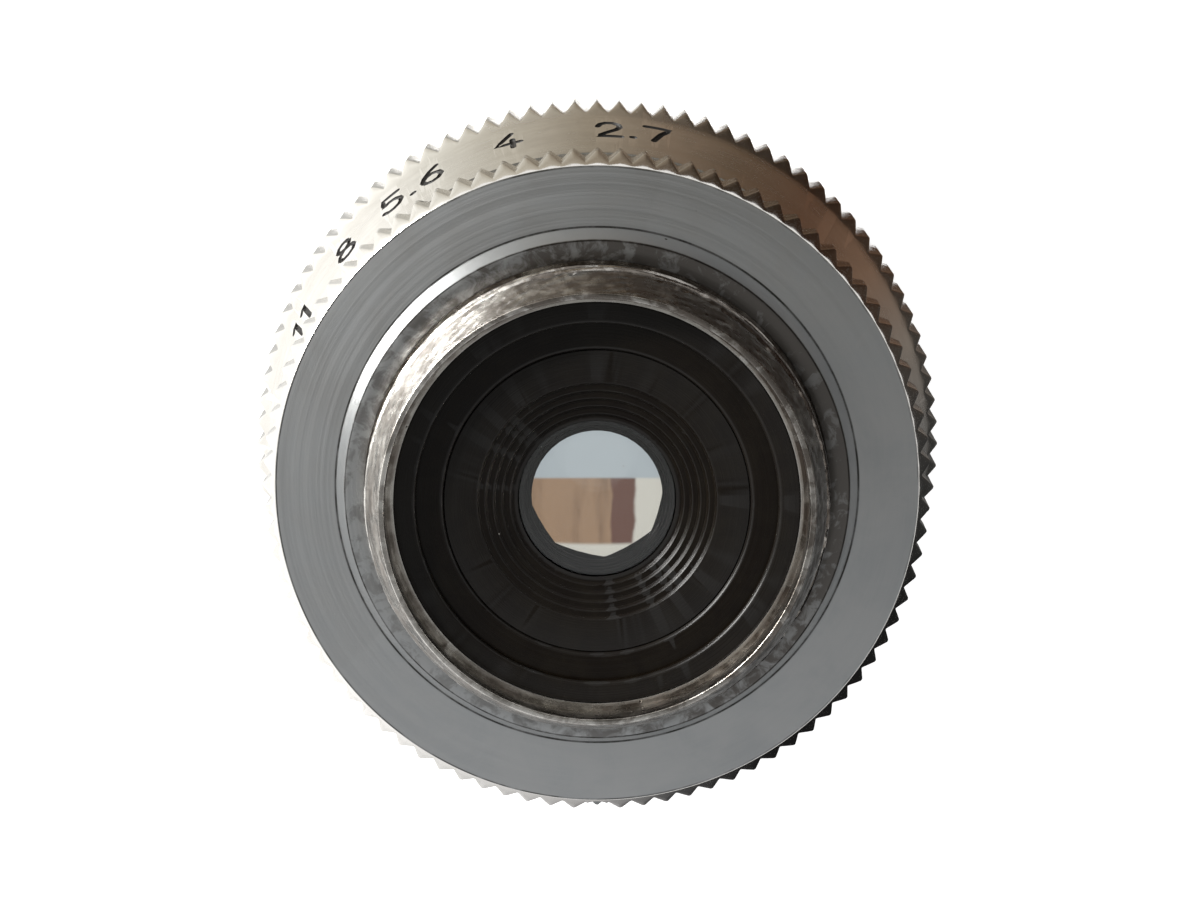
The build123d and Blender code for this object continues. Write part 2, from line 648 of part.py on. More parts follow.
# Rear retaining ring: stepped ribs lead down to the lens
retainer_top_z = flange_height + rear_retainer_above
ribs = []
for rib in range(rear_rib_count):
    rib_radius = rear_rib_top_radius - rib * rear_rib_width
    rib_z = retainer_top_z - rib * rear_rib_drop
    ribs.append((rib_radius, rib_z))
    ribs.append((rib_radius - rear_rib_slant, rib_z - rear_rib_drop))
rear_lip_radius = rear_rib_top_radius - rear_rib_count * rear_rib_width
rear_lip_z = rear_vertex_z - sag(rear_lip_radius, rear_lens_curvature) + lens_clearance
with BuildPart() as rear_retainer:
    turned(
        (rear_retainer_radius, rear_rim_z + lens_clearance),
        (rear_retainer_radius, retainer_top_z),
        *ribs,
        (rear_lip_radius, retainer_top_z - rear_rib_count * rear_rib_drop),
        (rear_lip_radius, rear_lip_z),
        (rear_lens_radius, rear_rim_z + lens_clearance),
    )
finish(rear_retainer.part, "rear_retainer")
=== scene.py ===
import bpy
import bmesh
import json
import random
from math import atan2, ceil, cos, degrees, exp, hypot, pi, radians, sin, sqrt
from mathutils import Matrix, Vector

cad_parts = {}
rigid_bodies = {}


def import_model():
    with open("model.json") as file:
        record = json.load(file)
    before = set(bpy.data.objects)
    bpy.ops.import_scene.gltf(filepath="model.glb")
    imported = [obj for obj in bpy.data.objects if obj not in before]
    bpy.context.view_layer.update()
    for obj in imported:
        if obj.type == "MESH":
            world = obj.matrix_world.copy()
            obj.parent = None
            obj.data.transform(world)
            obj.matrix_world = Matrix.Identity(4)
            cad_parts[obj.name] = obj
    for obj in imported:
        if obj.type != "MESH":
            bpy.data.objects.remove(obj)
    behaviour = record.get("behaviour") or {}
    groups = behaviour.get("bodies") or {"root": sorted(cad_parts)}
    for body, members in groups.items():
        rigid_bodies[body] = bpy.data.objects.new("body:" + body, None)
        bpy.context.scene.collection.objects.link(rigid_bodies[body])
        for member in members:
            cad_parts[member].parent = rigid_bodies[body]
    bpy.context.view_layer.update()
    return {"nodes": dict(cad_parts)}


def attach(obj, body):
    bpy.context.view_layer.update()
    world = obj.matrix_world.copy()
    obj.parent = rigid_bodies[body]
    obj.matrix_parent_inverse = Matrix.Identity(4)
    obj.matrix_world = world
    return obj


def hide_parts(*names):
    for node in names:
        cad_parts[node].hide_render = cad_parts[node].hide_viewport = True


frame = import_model()
random.seed(7)
mm = 0.001
print("frame loaded:", len(frame["nodes"]), "nodes")

# Mesh helpers


def newPiece(name, points, faces, sharpAngle=38, weighted=True):
    # points in mm, faces as index tuples
    mesh = bpy.data.meshes.new(name)
    mesh.from_pydata([(x * mm, y * mm, z * mm) for x, y, z in points], [], faces)
    piece = bpy.data.objects.new(name, mesh)
    bpy.context.scene.collection.objects.link(piece)
    cleanMesh(piece, sharpAngle)
    if weighted:
        weighNormals(piece)
    return piece


def cleanMesh(piece, sharpAngle):
    shape = bmesh.new()
    shape.from_mesh(piece.data)
    bmesh.ops.recalc_face_normals(shape, faces=shape.faces)
    limit = radians(sharpAngle)
    for face in shape.faces:
        face.smooth = True
    for edge in shape.edges:
        edge.smooth = len(edge.link_faces) == 2 and edge.calc_face_angle(0) < limit
    shape.to_mesh(piece.data)
    shape.free()


def weighNormals(piece):
    modifier = piece.modifiers.new("flatFacesWin", "WEIGHTED_NORMAL")
    modifier.keep_sharp = True
    modifier.weight = 80
    applyModifiers(piece)


def applyModifiers(piece):
    bpy.context.view_layer.update()
    evaluated = piece.evaluated_get(bpy.context.evaluated_depsgraph_get())
    old = piece.data
    piece.data = bpy.data.meshes.new_from_object(evaluated)
    piece.data.name = piece.name
    piece.modifiers.clear()
    bpy.data.meshes.remove(old)


def rounded(profile, steps=3):
    # each corner (r, z, fillet) becomes a small arc; a corner without a fillet stays sharp
    result = []
    count = len(profile)
    for index, corner in enumerate(profile):
        fillet = corner[2] if len(corner) > 2 else 0
        here = Vector(corner[:2])
        before = Vector(profile[index - 1][:2]) - here
        after = Vector(profile[(index + 1) % count][:2]) - here
        if not fillet or before.length < 1e-9 or after.length < 1e-9:
            result.append((here.x, here.y))
            continue
        reach = min(fillet, before.length * 0.45, after.length * 0.45)
        start = here + before.normalized() * reach
        end = here + after.normalized() * reach
        for step in range(steps + 1):
            share = step / steps
            point = start.lerp(here, share).lerp(here.lerp(end, share), share)
            result.append((point.x, point.y))
    return result


def turnPiece(name, profile, columns=192, shape=None, **options):
    # a closed (r, z) profile turned about the optical axis; shape(angle, r, z) may move a point
    points, faces, rows = [], [], []
    for r, z in profile:
        if r < 1e-6:
            rows.append([len(points)] * columns)
            points.append((0, 0, z))
            continue
        row = []
        for column in range(columns):
            angle = 2 * pi * column / columns
            radius, height = shape(angle, r, z) if shape else (r, z)
            row.append(len(points))
            points.append((radius * cos(angle), radius * sin(angle), height))
        rows.append(row)
    for index in range(len(rows)):
        low, high = rows[index], rows[(index + 1) % len(rows)]
        for column in range(columns):
            right = (column + 1) % columns
            corners = [low[column], low[right], high[right], high[column]]
            corners = list(dict.fromkeys(corners))
            if len(corners) > 2:
                faces.append(corners)
    return newPiece(name, points, faces, **options)


toothLook = {
    "halfShares": (0, 0.035, 0.06, 0.085, 0.2, 0.33, 0.44, 0.475, 0.5), "crestHalf": 0.06, "rootFrom": 0.44,
    "wear": 0.012, "crestRound": 0.014, "rootFill": 0.018, "leastRadius": 0.004,
}


def knurledPiece(name, teeth, columnRows, **options):
    # columnRows(share, wear, angle) gives one column's closed (r, z) profile
    shares = list(toothLook["halfShares"])
    shares = shares + [1 - share for share in shares[-2:0:-1]]
    points, faces, columns = [], [], []
    for tooth in range(teeth):
        wear = random.uniform(0, toothLook["wear"])
        for share in shares:
            angle = 2 * pi * (tooth + share) / teeth
            column = []
            for r, z in columnRows(share, wear, angle):
                column.append(len(points))
                points.append((r * cos(angle), r * sin(angle), z))
            columns.append(column)
    rowCount = len(columns[0])
    for index, left in enumerate(columns):
        right = columns[(index + 1) % len(columns)]
        for row in range(rowCount):
            following = (row + 1) % rowCount
            faces.append((left[row], right[row], right[following], left[following]))
    return newPiece(name, points, faces, **options)


def toothRadius(tip, depth, share, wear):
    # radius of a knurl tooth at a share of its pitch, with a worn crest and a soft root
    t = toothLook
    away = min(share, 1 - share)
    if away <= t["crestHalf"]:
        return tip - wear - t["crestRound"] * (away / t["crestHalf"]) ** 2
    fall = (away - t["crestHalf"]) / (0.5 - t["crestHalf"])
    soft = t["rootFill"] * max(0, (away - t["rootFrom"]) / (0.5 - t["rootFrom"]))
    return tip - wear * (1 - fall) - t["crestRound"] * (1 - fall) - depth * fall + soft


def cutWith(piece, cutters):
    group = bpy.data.collections.new(piece.name + "Cutters")
    for cutter in cutters:
        bpy.context.scene.collection.objects.unlink(cutter)
        group.objects.link(cutter)
    bpy.context.scene.collection.children.link(group)
    modifier = piece.modifiers.new("cut", "BOOLEAN")
    modifier.operation = "DIFFERENCE"
    modifier.solver = "EXACT"
    modifier.operand_type = "COLLECTION"
    modifier.collection = group
    modifier.material_mode = "TRANSFER"
    applyModifiers(piece)
    for cutter in list(group.objects):
        bpy.data.objects.remove(cutter)
    bpy.data.collections.remove(group)
    cleanMesh(piece, 38)
    weighNormals(piece)


def capsuleSweep(name, path, radius, material, sides=12):
    # a round cutter led along a path of points in mm, with domed ends
    points, faces = [], []
    path = [Vector(p) for p in path]
    directions = []
    for index in range(len(path)):
        ahead = path[min(index + 1, len(path) - 1)] - path[max(index - 1, 0)]
        directions.append(ahead.normalized())
    rings = []
    for step in range(3):
        turn = pi / 2 * (3 - step) / 3
        rings.append((path[0] - directions[0] * radius * sin(turn), directions[0], radius * cos(turn)))
    for point, direction in zip(path, directions):
        rings.append((point, direction, radius))
    for step in range(1, 4):
        turn = pi / 2 * step / 3
        rings.append((path[-1] + directions[-1] * radius * sin(turn), directions[-1], radius * cos(turn)))
    for centre, direction, size in rings:
        side = direction.cross(Vector((0.31, 0.17, 0.93))).normalized()
        up = direction.cross(side)
        for corner in range(sides):
            angle = 2 * pi * corner / sides
            reach = max(size, toothLook["leastRadius"])
            points.append(centre + side * (reach * cos(angle)) + up * (reach * sin(angle)))
    for ring in range(len(rings) - 1):
        for corner in range(sides):
            right = (corner + 1) % sides
            faces.append((ring * sides + corner, ring * sides + right,
                          (ring + 1) * sides + right, (ring + 1) * sides + corner))
    faces.append(tuple(range(sides)))
    faces.append(tuple(range((len(rings) - 1) * sides, len(rings) * sides)))
    cutter = newPiece(name, [tuple(p) for p in points], faces, weighted=False)
    cutter.data.materials.append(material)
    return cutter


# Material helpers


class Nodes:
    # Short words for building one node tree

    def __init__(self, tree):
        self.tree = tree

    def add(self, kind, **values):
        node = self.tree.nodes.new(kind)
        for key, value in values.items():
            setattr(node, key, value)
        return node

    def link(self, source, target):
        self.tree.links.new(source, target)
        return target

    def put(self, socket, value):
        if hasattr(value, "links"):
            self.link(value, socket)
        else:
            socket.default_value = value

    def math(self, operation, first, second=0.0, clamp=False):
        node = self.add("ShaderNodeMath", operation=operation, use_clamp=clamp)
        for socket, value in zip(node.inputs, (first, second)):
            self.put(socket, value)
        return node.outputs[0]

    def plus(self, first, second, clamp=False):
        return self.math("ADD", first, second, clamp)

    def minus(self, first, second):
        return self.math("SUBTRACT", first, second)

    def times(self, first, second, clamp=False):
        return self.math("MULTIPLY", first, second, clamp)

    def ramp(self, value, low, high, lowValue=0.0, highValue=1.0):
        node = self.add("ShaderNodeMapRange", interpolation_type="SMOOTHSTEP")
        for socket, item in zip(node.inputs, (value, low, high, lowValue, highValue)):
            self.put(socket, item)
        return node.outputs[0]

    def mix(self, share, first, second):
        node = self.add("ShaderNodeMix", data_type="RGBA", clamp_factor=True)
        self.put(node.inputs[0], share)
        self.put(node.inputs[6], first)
        self.put(node.inputs[7], second)
        return node.outputs[2]

    def noise(self, vector, scale, detail=3.0, roughness=0.5, distortion=0.0):
        node = self.add("ShaderNodeTexNoise")
        self.put(node.inputs["Vector"], vector)
        for key, value in (("Scale", scale), ("Detail", detail), ("Roughness", roughness),
                           ("Distortion", distortion)):
            self.put(node.inputs[key], value)
        return node.outputs["Fac"]

    def combine(self, x, y, z):
        node = self.add("ShaderNodeCombineXYZ")
        for socket, value in zip(node.inputs, (x, y, z)):
            self.put(socket, value)
        return node.outputs[0]

    def objectPlace(self):
        return self.add("ShaderNodeTexCoord").outputs["Object"]

    def distance(self, x, y):
        return self.math("SQRT", self.plus(self.times(x, x), self.times(y, y)))

    def separate(self, vector):
        node = self.add("ShaderNodeSeparateXYZ")
        self.put(node.inputs[0], vector)
        return node.outputs

    def group(self, tree, **values):
        node = self.add("ShaderNodeGroup", node_tree=tree)
        for key, value in values.items():
            self.put(node.inputs[key], value)
        return node.outputs


def newGroup(name, inputs, outputs):
    tree = bpy.data.node_groups.new(name, "ShaderNodeTree")
    for label, kind, default in inputs:
        socket = tree.interface.new_socket(label, in_out="INPUT", socket_type=kind)
        socket.default_value = default
    for label, kind in outputs:
        tree.interface.new_socket(label, in_out="OUTPUT", socket_type=kind)
    nodes = Nodes(tree)
    return tree, nodes, nodes.add("NodeGroupInput").outputs, nodes.add("NodeGroupOutput").inputs


value, vector = "NodeSocketFloat", "NodeSocketVector"


def makePlaceGroup():
    # radius, place and a seamless place round the axis, in mm
    tree, n, given, result = newGroup(
        "placeOnLens", [], [("Radius", value), ("Spot", vector), ("Ring Spot", vector)])
    place = n.objectPlace()
    scaled = n.add("ShaderNodeVectorMath", operation="SCALE")
    n.link(place, scaled.inputs[0])
    scaled.inputs["Scale"].default_value = 1000
    x, y, z = n.separate(scaled.outputs[0])
    radius = n.distance(x, y)
    safe = n.math("MAXIMUM", radius, 0.01)
    around = n.combine(n.math("DIVIDE", x, safe), n.math("DIVIDE", y, safe), n.plus(radius, z))
    n.link(radius, result["Radius"])
    n.link(scaled.outputs[0], result["Spot"])
    n.link(around, result["Ring Spot"])
    return tree


def makeTurnedGroup(placeGroup):
    # fine rings left by the lathe
    tree, n, given, result = newGroup(
        "turnedRings",
        [("Fineness", value, 9.0), ("Around", value, 0.6), ("Breakup", value, 0.5)],
        [("Lines", value)])
    place = n.group(placeGroup)
    x, y, z = n.separate(place["Ring Spot"])
    spot = n.combine(n.times(x, given["Around"]), n.times(y, given["Around"]), n.times(z, given["Fineness"]))
    fine = n.noise(spot, 1.0, 4.0, given["Breakup"])
    n.link(n.ramp(fine, 0.3, 0.7), result["Lines"])
    return tree


def makeSpotGroup(placeGroup):
    # scattered small marks: pits, nicks or dust
    tree, n, given, result = newGroup(
        "scatteredSpots",
        [("Density", value, 1.0), ("Size", value, 0.1), ("Share", value, 0.2), ("Ragged", value, 0.3)],
        [("Mask", value)])
    place = n.group(placeGroup)
    wobble = n.noise(place["Spot"], 6.0, 3.0)
    cells = n.add("ShaderNodeTexVoronoi", feature="F1")
    n.link(place["Spot"], cells.inputs["Vector"])
    n.put(cells.inputs["Scale"], given["Density"])
    distance = n.math("DIVIDE", cells.outputs["Distance"], given["Density"])
    ragged = n.times(n.minus(wobble, 0.5), n.times(given["Ragged"], given["Size"]))
    ragged = n.plus(distance, ragged)
    chosen = n.math("LESS_THAN", n.separate(cells.outputs["Color"])[0], given["Share"])
    spot = n.ramp(ragged, n.times(given["Size"], 0.6), given["Size"], 1.0, 0.0)
    n.link(n.times(spot, chosen), result["Mask"])
    return tree


def makeWearGroup(placeGroup):
    # rubbed metal: edge mask from the mesh, blotches and streaks round the axis
    tree, n, given, result = newGroup(
        "rubbedMetal",
        [("Edge", value, 0.5), ("Blotch Size", value, 1.0), ("Streak", value, 2.0)],
        [("Edge Mask", value), ("Blotches", value), ("Streaks", value)])
    place = n.group(placeGroup)
    pointy = n.add("ShaderNodeNewGeometry").outputs["Pointiness"]
    edge = n.ramp(pointy, 0.5, n.plus(0.505, n.times(given["Edge"], 0.06)))
    blotch = n.noise(place["Spot"], given["Blotch Size"], 5.0, 0.6, 0.4)
    x, y, z = n.separate(place["Ring Spot"])
    spot = n.combine(n.times(x, given["Streak"]), n.times(y, given["Streak"]), n.times(z, 5.0))
    streak = n.noise(spot, 1.0, 4.0, 0.6, 0.3)
    n.link(edge, result["Edge Mask"])
    n.link(n.ramp(blotch, 0.35, 0.65), result["Blotches"])
    n.link(n.ramp(streak, 0.35, 0.65), result["Streaks"])
    return tree


def makeDirtAndShadeGroup(placeGroup):
    # dirt and painted shade in a ring between two radii, made heavier towards one side of the lens as painted
    # shade
    tree, n, given, result = newGroup(
        "ringOfDirtAndShade",
        [("From", value, 0.0), ("To", value, 1.0), ("Soft", value, 0.03), ("Patch Size", value, 1.0),
         ("Even", value, 0.5), ("Side", vector, (0.0, 0.0, 0.0))],
        [("Mask", value)])
    place = n.group(placeGroup)
    inside = n.ramp(place["Radius"], given["From"], n.plus(given["From"], given["Soft"]))
    outside = n.ramp(place["Radius"], n.minus(given["To"], given["Soft"]), given["To"], 1.0, 0.0)
    patches = n.ramp(n.noise(place["Spot"], given["Patch Size"], 5.0, 0.65, 0.6), 0.35, 0.62)
    # painted shade: the Side vector darkens the ring more on one side of the lens
    shadeLean = n.add("ShaderNodeVectorMath", operation="DOT_PRODUCT")
    n.link(place["Spot"], shadeLean.inputs[0])
    n.link(given["Side"], shadeLean.inputs[1])
    amount = n.plus(n.times(patches, n.minus(1.0, given["Even"])), given["Even"])
    amount = n.plus(amount, shadeLean.outputs["Value"], clamp=True)
    n.link(n.times(n.times(inside, outside), amount, clamp=True), result["Mask"])
    return tree


placeGroup = makePlaceGroup()
dirtAndShadeGroup = makeDirtAndShadeGroup(placeGroup)
turnedGroup = makeTurnedGroup(placeGroup)
spotGroup = makeSpotGroup(placeGroup)
wearGroup = makeWearGroup(placeGroup)


def newMaterial(name, **values):
    material = bpy.data.materials.new(name)
    material.use_nodes = True
    n = Nodes(material.node_tree)
    shader = material.node_tree.nodes["Principled BSDF"]
    for key, item in values.items():
        shader.inputs[key].default_value = item
    return material, n, shader.inputs


def addBump(n, shader, height, distance):
    bump = n.add("ShaderNodeBump")
    n.link(height, bump.inputs["Height"])
    bump.inputs["Strength"].default_value = 1.0
    bump.inputs["Distance"].default_value = distance * mm
    n.link(bump.outputs[0], shader["Normal"])


def rgb(r, g, b):
    return (r, g, b, 1.0)


def dirtAndShadeRing(fromRadius, toRadius, soft, patchSize, even, share, paint, side=(0, 0, 0)):
    # one ring of dirt and painted shade of a look: values for the group, how strong it is, and its colour
    values = {"From": fromRadius, "To": toRadius, "Soft": soft, "Patch Size": patchSize, "Even": even,
              "Side": side}
    return {"values": values, "share": share, "colour": paint}


def satinMaterial(look):
    # satin plated metal with lathe rings, faint dirt, painted shade rings and small pits
    material, n, shader = newMaterial(look["name"], Metallic=1.0)
    rings = n.group(turnedGroup, Fineness=look["fineness"], Around=look["around"])
    pits = n.group(spotGroup, Density=look["pitDensity"], Size=look["pitSize"], Share=look["pitShare"],
                   Ragged=0.9)
    wear = n.group(wearGroup, **{
        "Edge": look["edge"], "Blotch Size": look["blotchSize"], "Streak": look["streak"]})
    base = n.mix(wear["Blotches"], look["colour"], look["dull"])
    base = n.mix(n.times(wear["Streaks"], look["streakShare"]), base, look["streakColour"])
    base = n.mix(n.times(wear["Edge Mask"], look["edgeShare"]), base, look["edgeColour"])
    base = n.mix(pits["Mask"], base, look["pitColour"])
    for dirtAndShade in look.get("dirtAndShade", ()):
        patches = n.group(dirtAndShadeGroup, **dirtAndShade["values"])
        base = n.mix(n.times(patches["Mask"], dirtAndShade["share"]), base, dirtAndShade["colour"])
    n.link(base, shader["Base Color"])
    rough = n.minus(rings["Lines"], 0.5)
    rough = n.plus(look["roughness"], n.times(rough, look["roughSwing"]))
    rough = n.plus(rough, n.times(wear["Blotches"], look["blotchRough"]))
    rough = n.minus(rough, n.times(wear["Edge Mask"], look["edgePolish"]))
    n.link(n.math("MAXIMUM", rough, 0.06), shader["Roughness"])
    height = n.minus(n.times(rings["Lines"], look["ringDepth"]), pits["Mask"])
    height = n.plus(height, n.times(wear["Blotches"], look["blotchDepth"]))
    addBump(n, shader, height, look["bump"])
    return material


def blackMaterial(look):
    # matt blackening over turned metal, shinier on the rings' crests, with dust
    material, n, shader = newMaterial(look["name"], **{"Specular IOR Level": look["sheen"]})
    rings = n.group(turnedGroup, Fineness=look["fineness"], Around=look["around"])
    dust = n.group(spotGroup, Density=look["dustDensity"], Size=look["dustSize"], Share=look["dustShare"],
                   Ragged=1.2)
    wear = n.group(wearGroup, **{"Edge": look["edge"], "Blotch Size": look["blotchSize"], "Streak": 3.0})
    base = n.mix(wear["Blotches"], look["colour"], look["second"])
    base = n.mix(n.times(wear["Edge Mask"], look["edgeShare"]), base, look["edgeColour"])
    base = n.mix(dust["Mask"], base, look["dustColour"])
    n.link(base, shader["Base Color"])
    rough = n.minus(rings["Lines"], 0.5)
    rough = n.plus(look["roughness"], n.times(rough, look["roughSwing"]))
    n.link(rough, shader["Roughness"])
    height = n.plus(n.times(rings["Lines"], look["ringDepth"]), dust["Mask"])
    addBump(n, shader, height, look["bump"])
    return material


flangeLook = dict(
    name="satinFlange", colour=rgb(0.46, 0.465, 0.465), dull=rgb(0.42, 0.43, 0.435),
    streakColour=rgb(0.5, 0.5, 0.49), streakShare=0.2, edgeColour=rgb(0.75, 0.74, 0.72), edgeShare=0.0,
    pitColour=rgb(0.06, 0.055, 0.05),
    roughness=0.33, roughSwing=0.05, blotchRough=0.03, edgePolish=0.0, fineness=16.0, around=0.7,
    dirtAndShade=(
        # dirt on the seat, with painted shade that leans it darker towards the right
        dirtAndShadeRing(7.9, 8.76, 0.04, 1.6, 0.12, 0.8, rgb(0.075, 0.06, 0.048), (0.06, 0.03, 0)),
        # painted shade: a thin dark line in the corner at the foot of the seat wall
        dirtAndShadeRing(9.03, 9.13, 0.03, 0.8, 0.7, 0.9, rgb(0.02, 0.018, 0.015)),
        # a thin dark line just inside the top edge of the seat wall
        dirtAndShadeRing(8.66, 8.74, 0.03, 0.8, 0.6, 0.9, rgb(0.02, 0.018, 0.015)),
        # a thin dark line along the flange's outer edge, heavier towards the left
        dirtAndShadeRing(11.1, 11.2, 0.04, 0.7, 0.1, 0.8, rgb(0.03, 0.028, 0.025), (-0.04, 0, 0)),
    ),
    pitDensity=0.9, pitSize=0.06, pitShare=0.2, edge=0.5, blotchSize=0.5, streak=5.0,
    ringDepth=0.2, blotchDepth=0.1, bump=0.0035)
chromeLook = dict(
    name="brightKnurl", colour=rgb(0.76, 0.74, 0.7), dull=rgb(0.68, 0.66, 0.62),
    streakColour=rgb(0.6, 0.57, 0.53), streakShare=0.3, edgeColour=rgb(0.9, 0.88, 0.85), edgeShare=0.6,
    pitColour=rgb(0.15, 0.13, 0.1),
    roughness=0.2, roughSwing=0.08, blotchRough=0.06, edgePolish=0.08, fineness=10.0, around=0.8,
    pitDensity=0.8, pitSize=0.05, pitShare=0.1, edge=0.4, blotchSize=0.6, streak=4.0,
    ringDepth=0.3, blotchDepth=0.15, bump=0.004)
threadLook = dict(
    name="wornThread", colour=rgb(0.66, 0.63, 0.58), dull=rgb(0.36, 0.33, 0.3),
    streakColour=rgb(0.2, 0.17, 0.14),
    # dirt on the thread, with painted shade that leans it darker towards the right
    dirtAndShade=(dirtAndShadeRing(7.0, 8.1, 0.02, 1.1, 0.1, 0.8, rgb(0.07, 0.05, 0.036), (0.055, 0.03, 0)),),
    streakShare=0.4, edgeColour=rgb(0.86, 0.84, 0.8), edgeShare=0.6, pitColour=rgb(0.05, 0.045, 0.04),
    roughness=0.24, roughSwing=0.12, blotchRough=0.16, edgePolish=0.06, fineness=6.0, around=2.5,
    pitDensity=1.4, pitSize=0.06, pitShare=0.22, edge=0.4, blotchSize=1.5, streak=9.0,
    ringDepth=0.4, blotchDepth=0.5, bump=0.012)
steelLook = dict(
    name="plainSteel", colour=rgb(0.55, 0.55, 0.55), dull=rgb(0.45, 0.44, 0.43),
    streakColour=rgb(0.6, 0.6, 0.6), streakShare=0.3, edgeColour=rgb(0.8, 0.8, 0.8), edgeShare=0.3,
    pitColour=rgb(0.1, 0.09, 0.08),
    roughness=0.28, roughSwing=0.08, blotchRough=0.05, edgePolish=0.05, fineness=12.0, around=1.0,
    pitDensity=1.0, pitSize=0.04, pitShare=0.1, edge=0.4, blotchSize=1.0, streak=5.0,
    ringDepth=0.3, blotchDepth=0.1, bump=0.004)
cellLook = dict(
    name="blackCell", colour=rgb(0.003, 0.0017, 0.0008), second=rgb(0.0045, 0.003, 0.0015),
    edgeColour=rgb(0.03, 0.03, 0.03), sheen=0.2, edgeShare=0.3, dustColour=rgb(0.4, 0.38, 0.35),
    roughness=0.27, roughSwing=0.12, fineness=14.0, around=0.8,
    dustDensity=1.2, dustSize=0.035, dustShare=0.05, edge=0.5, blotchSize=1.2, ringDepth=0.4, bump=0.004)
bladeLook = dict(cellLook, name="blackBlade", roughness=0.45, dustShare=0.03, bump=0.002)
paintLook = dict(
    cellLook, name="numberPaint", colour=rgb(0.012, 0.011, 0.01), second=rgb(0.02, 0.018, 0.016),
    edgeShare=0.0, roughness=0.55, dustShare=0.02, sheen=0.4)

satinFlange = satinMaterial(flangeLook)
brightKnurl = satinMaterial(chromeLook)
wornThread = satinMaterial(threadLook)
plainSteel = satinMaterial(steelLook)
blackCell = blackMaterial(cellLook)
blackBlade = blackMaterial(bladeLook)
numberPaint = blackMaterial(paintLook)

glassLook = {
    "name": "coatedGlass", "ior": 1.6, "coating": 0.05, "tint": rgb(0.97, 0.985, 0.98), "dustSize": 0.03,
    "dustShare": 0.12, "dustDensity": 1.6, "dustColour": rgb(0.25, 0.22, 0.2),
}


def glassMaterial(look):
    material, n, shader = newMaterial(
        look["name"], **{"Metallic": 0.0, "Transmission Weight": 1.0, "IOR": look["ior"],
                         "Specular IOR Level": look["coating"]})
    specks = n.group(spotGroup, Density=look["dustDensity"], Size=look["dustSize"], Share=look["dustShare"],
                     Ragged=1.0)
    n.link(n.mix(specks["Mask"], look["tint"], look["dustColour"]), shader["Base Color"])
    n.link(n.times(specks["Mask"], 0.5), shader["Roughness"])
    return material


lensGlass = glassMaterial(glassLook)
print("materials made:", len(bpy.data.materials))

# Sizes that several pieces share, in mm

flangeZ = 15.0
lensSize = {
    "threadRadius": 7.9375, "threadPitch": 25.4 / 32, "threadDepth": 0.46, "seatAbove": 0.9,
    "threadFoot": 0.2, "fullThread": 1.8, "registerRadius": 8.1875, "reliefRadius": 7.5375,
    "lipThickness": 0.5, "boreGap": 0.08, "stubAbove": 4.7, "leadInRadius": 7.35, "mouthRadius": 7.15,
    "journalRadius": 9.0, "shoulderBelow": 1.2,
    "neckRadius": 11.1, "neckBore": 10.15, "neckBelow": 6.0, "ringBore": 9.04, "skirtRadius": 10.04,
}
seatZ = flangeZ + lensSize["seatAbove"]
lipZ = seatZ - lensSize["lipThickness"]
footZ = seatZ + lensSize["threadFoot"]
leadZ = footZ + lensSize["fullThread"]
shoulderZ = flangeZ - lensSize["shoulderBelow"]


def settle(piece, node, body, material=None):
    if material:
        piece.data.materials.append(material)
    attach(piece, body)
    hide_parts(node)


# Main tube with its worn thread

tubeLook = {
    "rowStep": 0.055, "columns": 540, "runOutAngle": -20.0, "runOutAbove": 3.2, "fadeFrom": 3.0,
    "fadeTo": 3.45, "rough": 0.012, "front": 0.25, "hoodStep": 9.6, "hoodBore": 8.2, "irisBore": 6.35,
    "irisPlate": 16.25, "cellBore": 6.9, "cellSeat": 18.35, "grooveLow": 10.25, "grooveHigh": 11.35,
    "grooveRadius": 8.3, "endRound": 0.06, "grooveHalf": 0.42, "grooveFlat": 1.25, "groovePower": 1.2,
    "fadeRagged": 0.12, "roughFrom": 1.2, "roughOver": 0.5, "nickDepth": 0.09, "nickWidth": 0.7,
    "nickWiden": 0.5, "nickHeight": 0.12, "nickStep": 0.08,
    "nickAngles": (129, 118, 102, 96, 172, 186, -8, -21, -33, -38, 63, 20, 205, 238, 262, 290),
}


def threadShape(angle, r, z):
    # radius of the outside of the stub: helical groove, worn crest, nicks on the lead-in corner
    look = tubeLook
    above = z - flangeZ
    turn = degrees(angle)
    pitch = lensSize["threadPitch"]
    phase = (above - look["runOutAbove"] - pitch * (turn - look["runOutAngle"]) / 360) / pitch
    off = abs(phase - round(phase)) * pitch
    groove = max(0.0, 1 - off / (pitch * look["grooveHalf"]))
    groove = min(groove * look["grooveFlat"], 1.0) ** look["groovePower"]
    grain = sin(turn * 0.61 + above * 9) * sin(turn * 1.37 - above * 4) * sin(turn * 0.23 + 1)
    fadeEnd = look["fadeTo"] + look["fadeRagged"] * grain
    fade = min(1.0, max(0.0, (fadeEnd - above) / (look["fadeTo"] - look["fadeFrom"])))
    radius = min(lensSize["threadRadius"] - lensSize["threadDepth"] * groove * fade, r)
    corner = above - (leadZ - flangeZ)
    for index, nickAngle in enumerate(look["nickAngles"]):
        away = (turn - nickAngle + 180) % 360 - 180
        width = look["nickWidth"] + look["nickWiden"] * (index % 3)
        lift = corner - look["nickStep"] * (index % 4 - 1)
        radius -= look["nickDepth"] * exp(-(away / width) ** 2 - (lift / look["nickHeight"]) ** 2)
    radius += look["rough"] * grain * min(1.0, max(0.0, (above - look["roughFrom"]) / look["roughOver"]))
    return radius, z


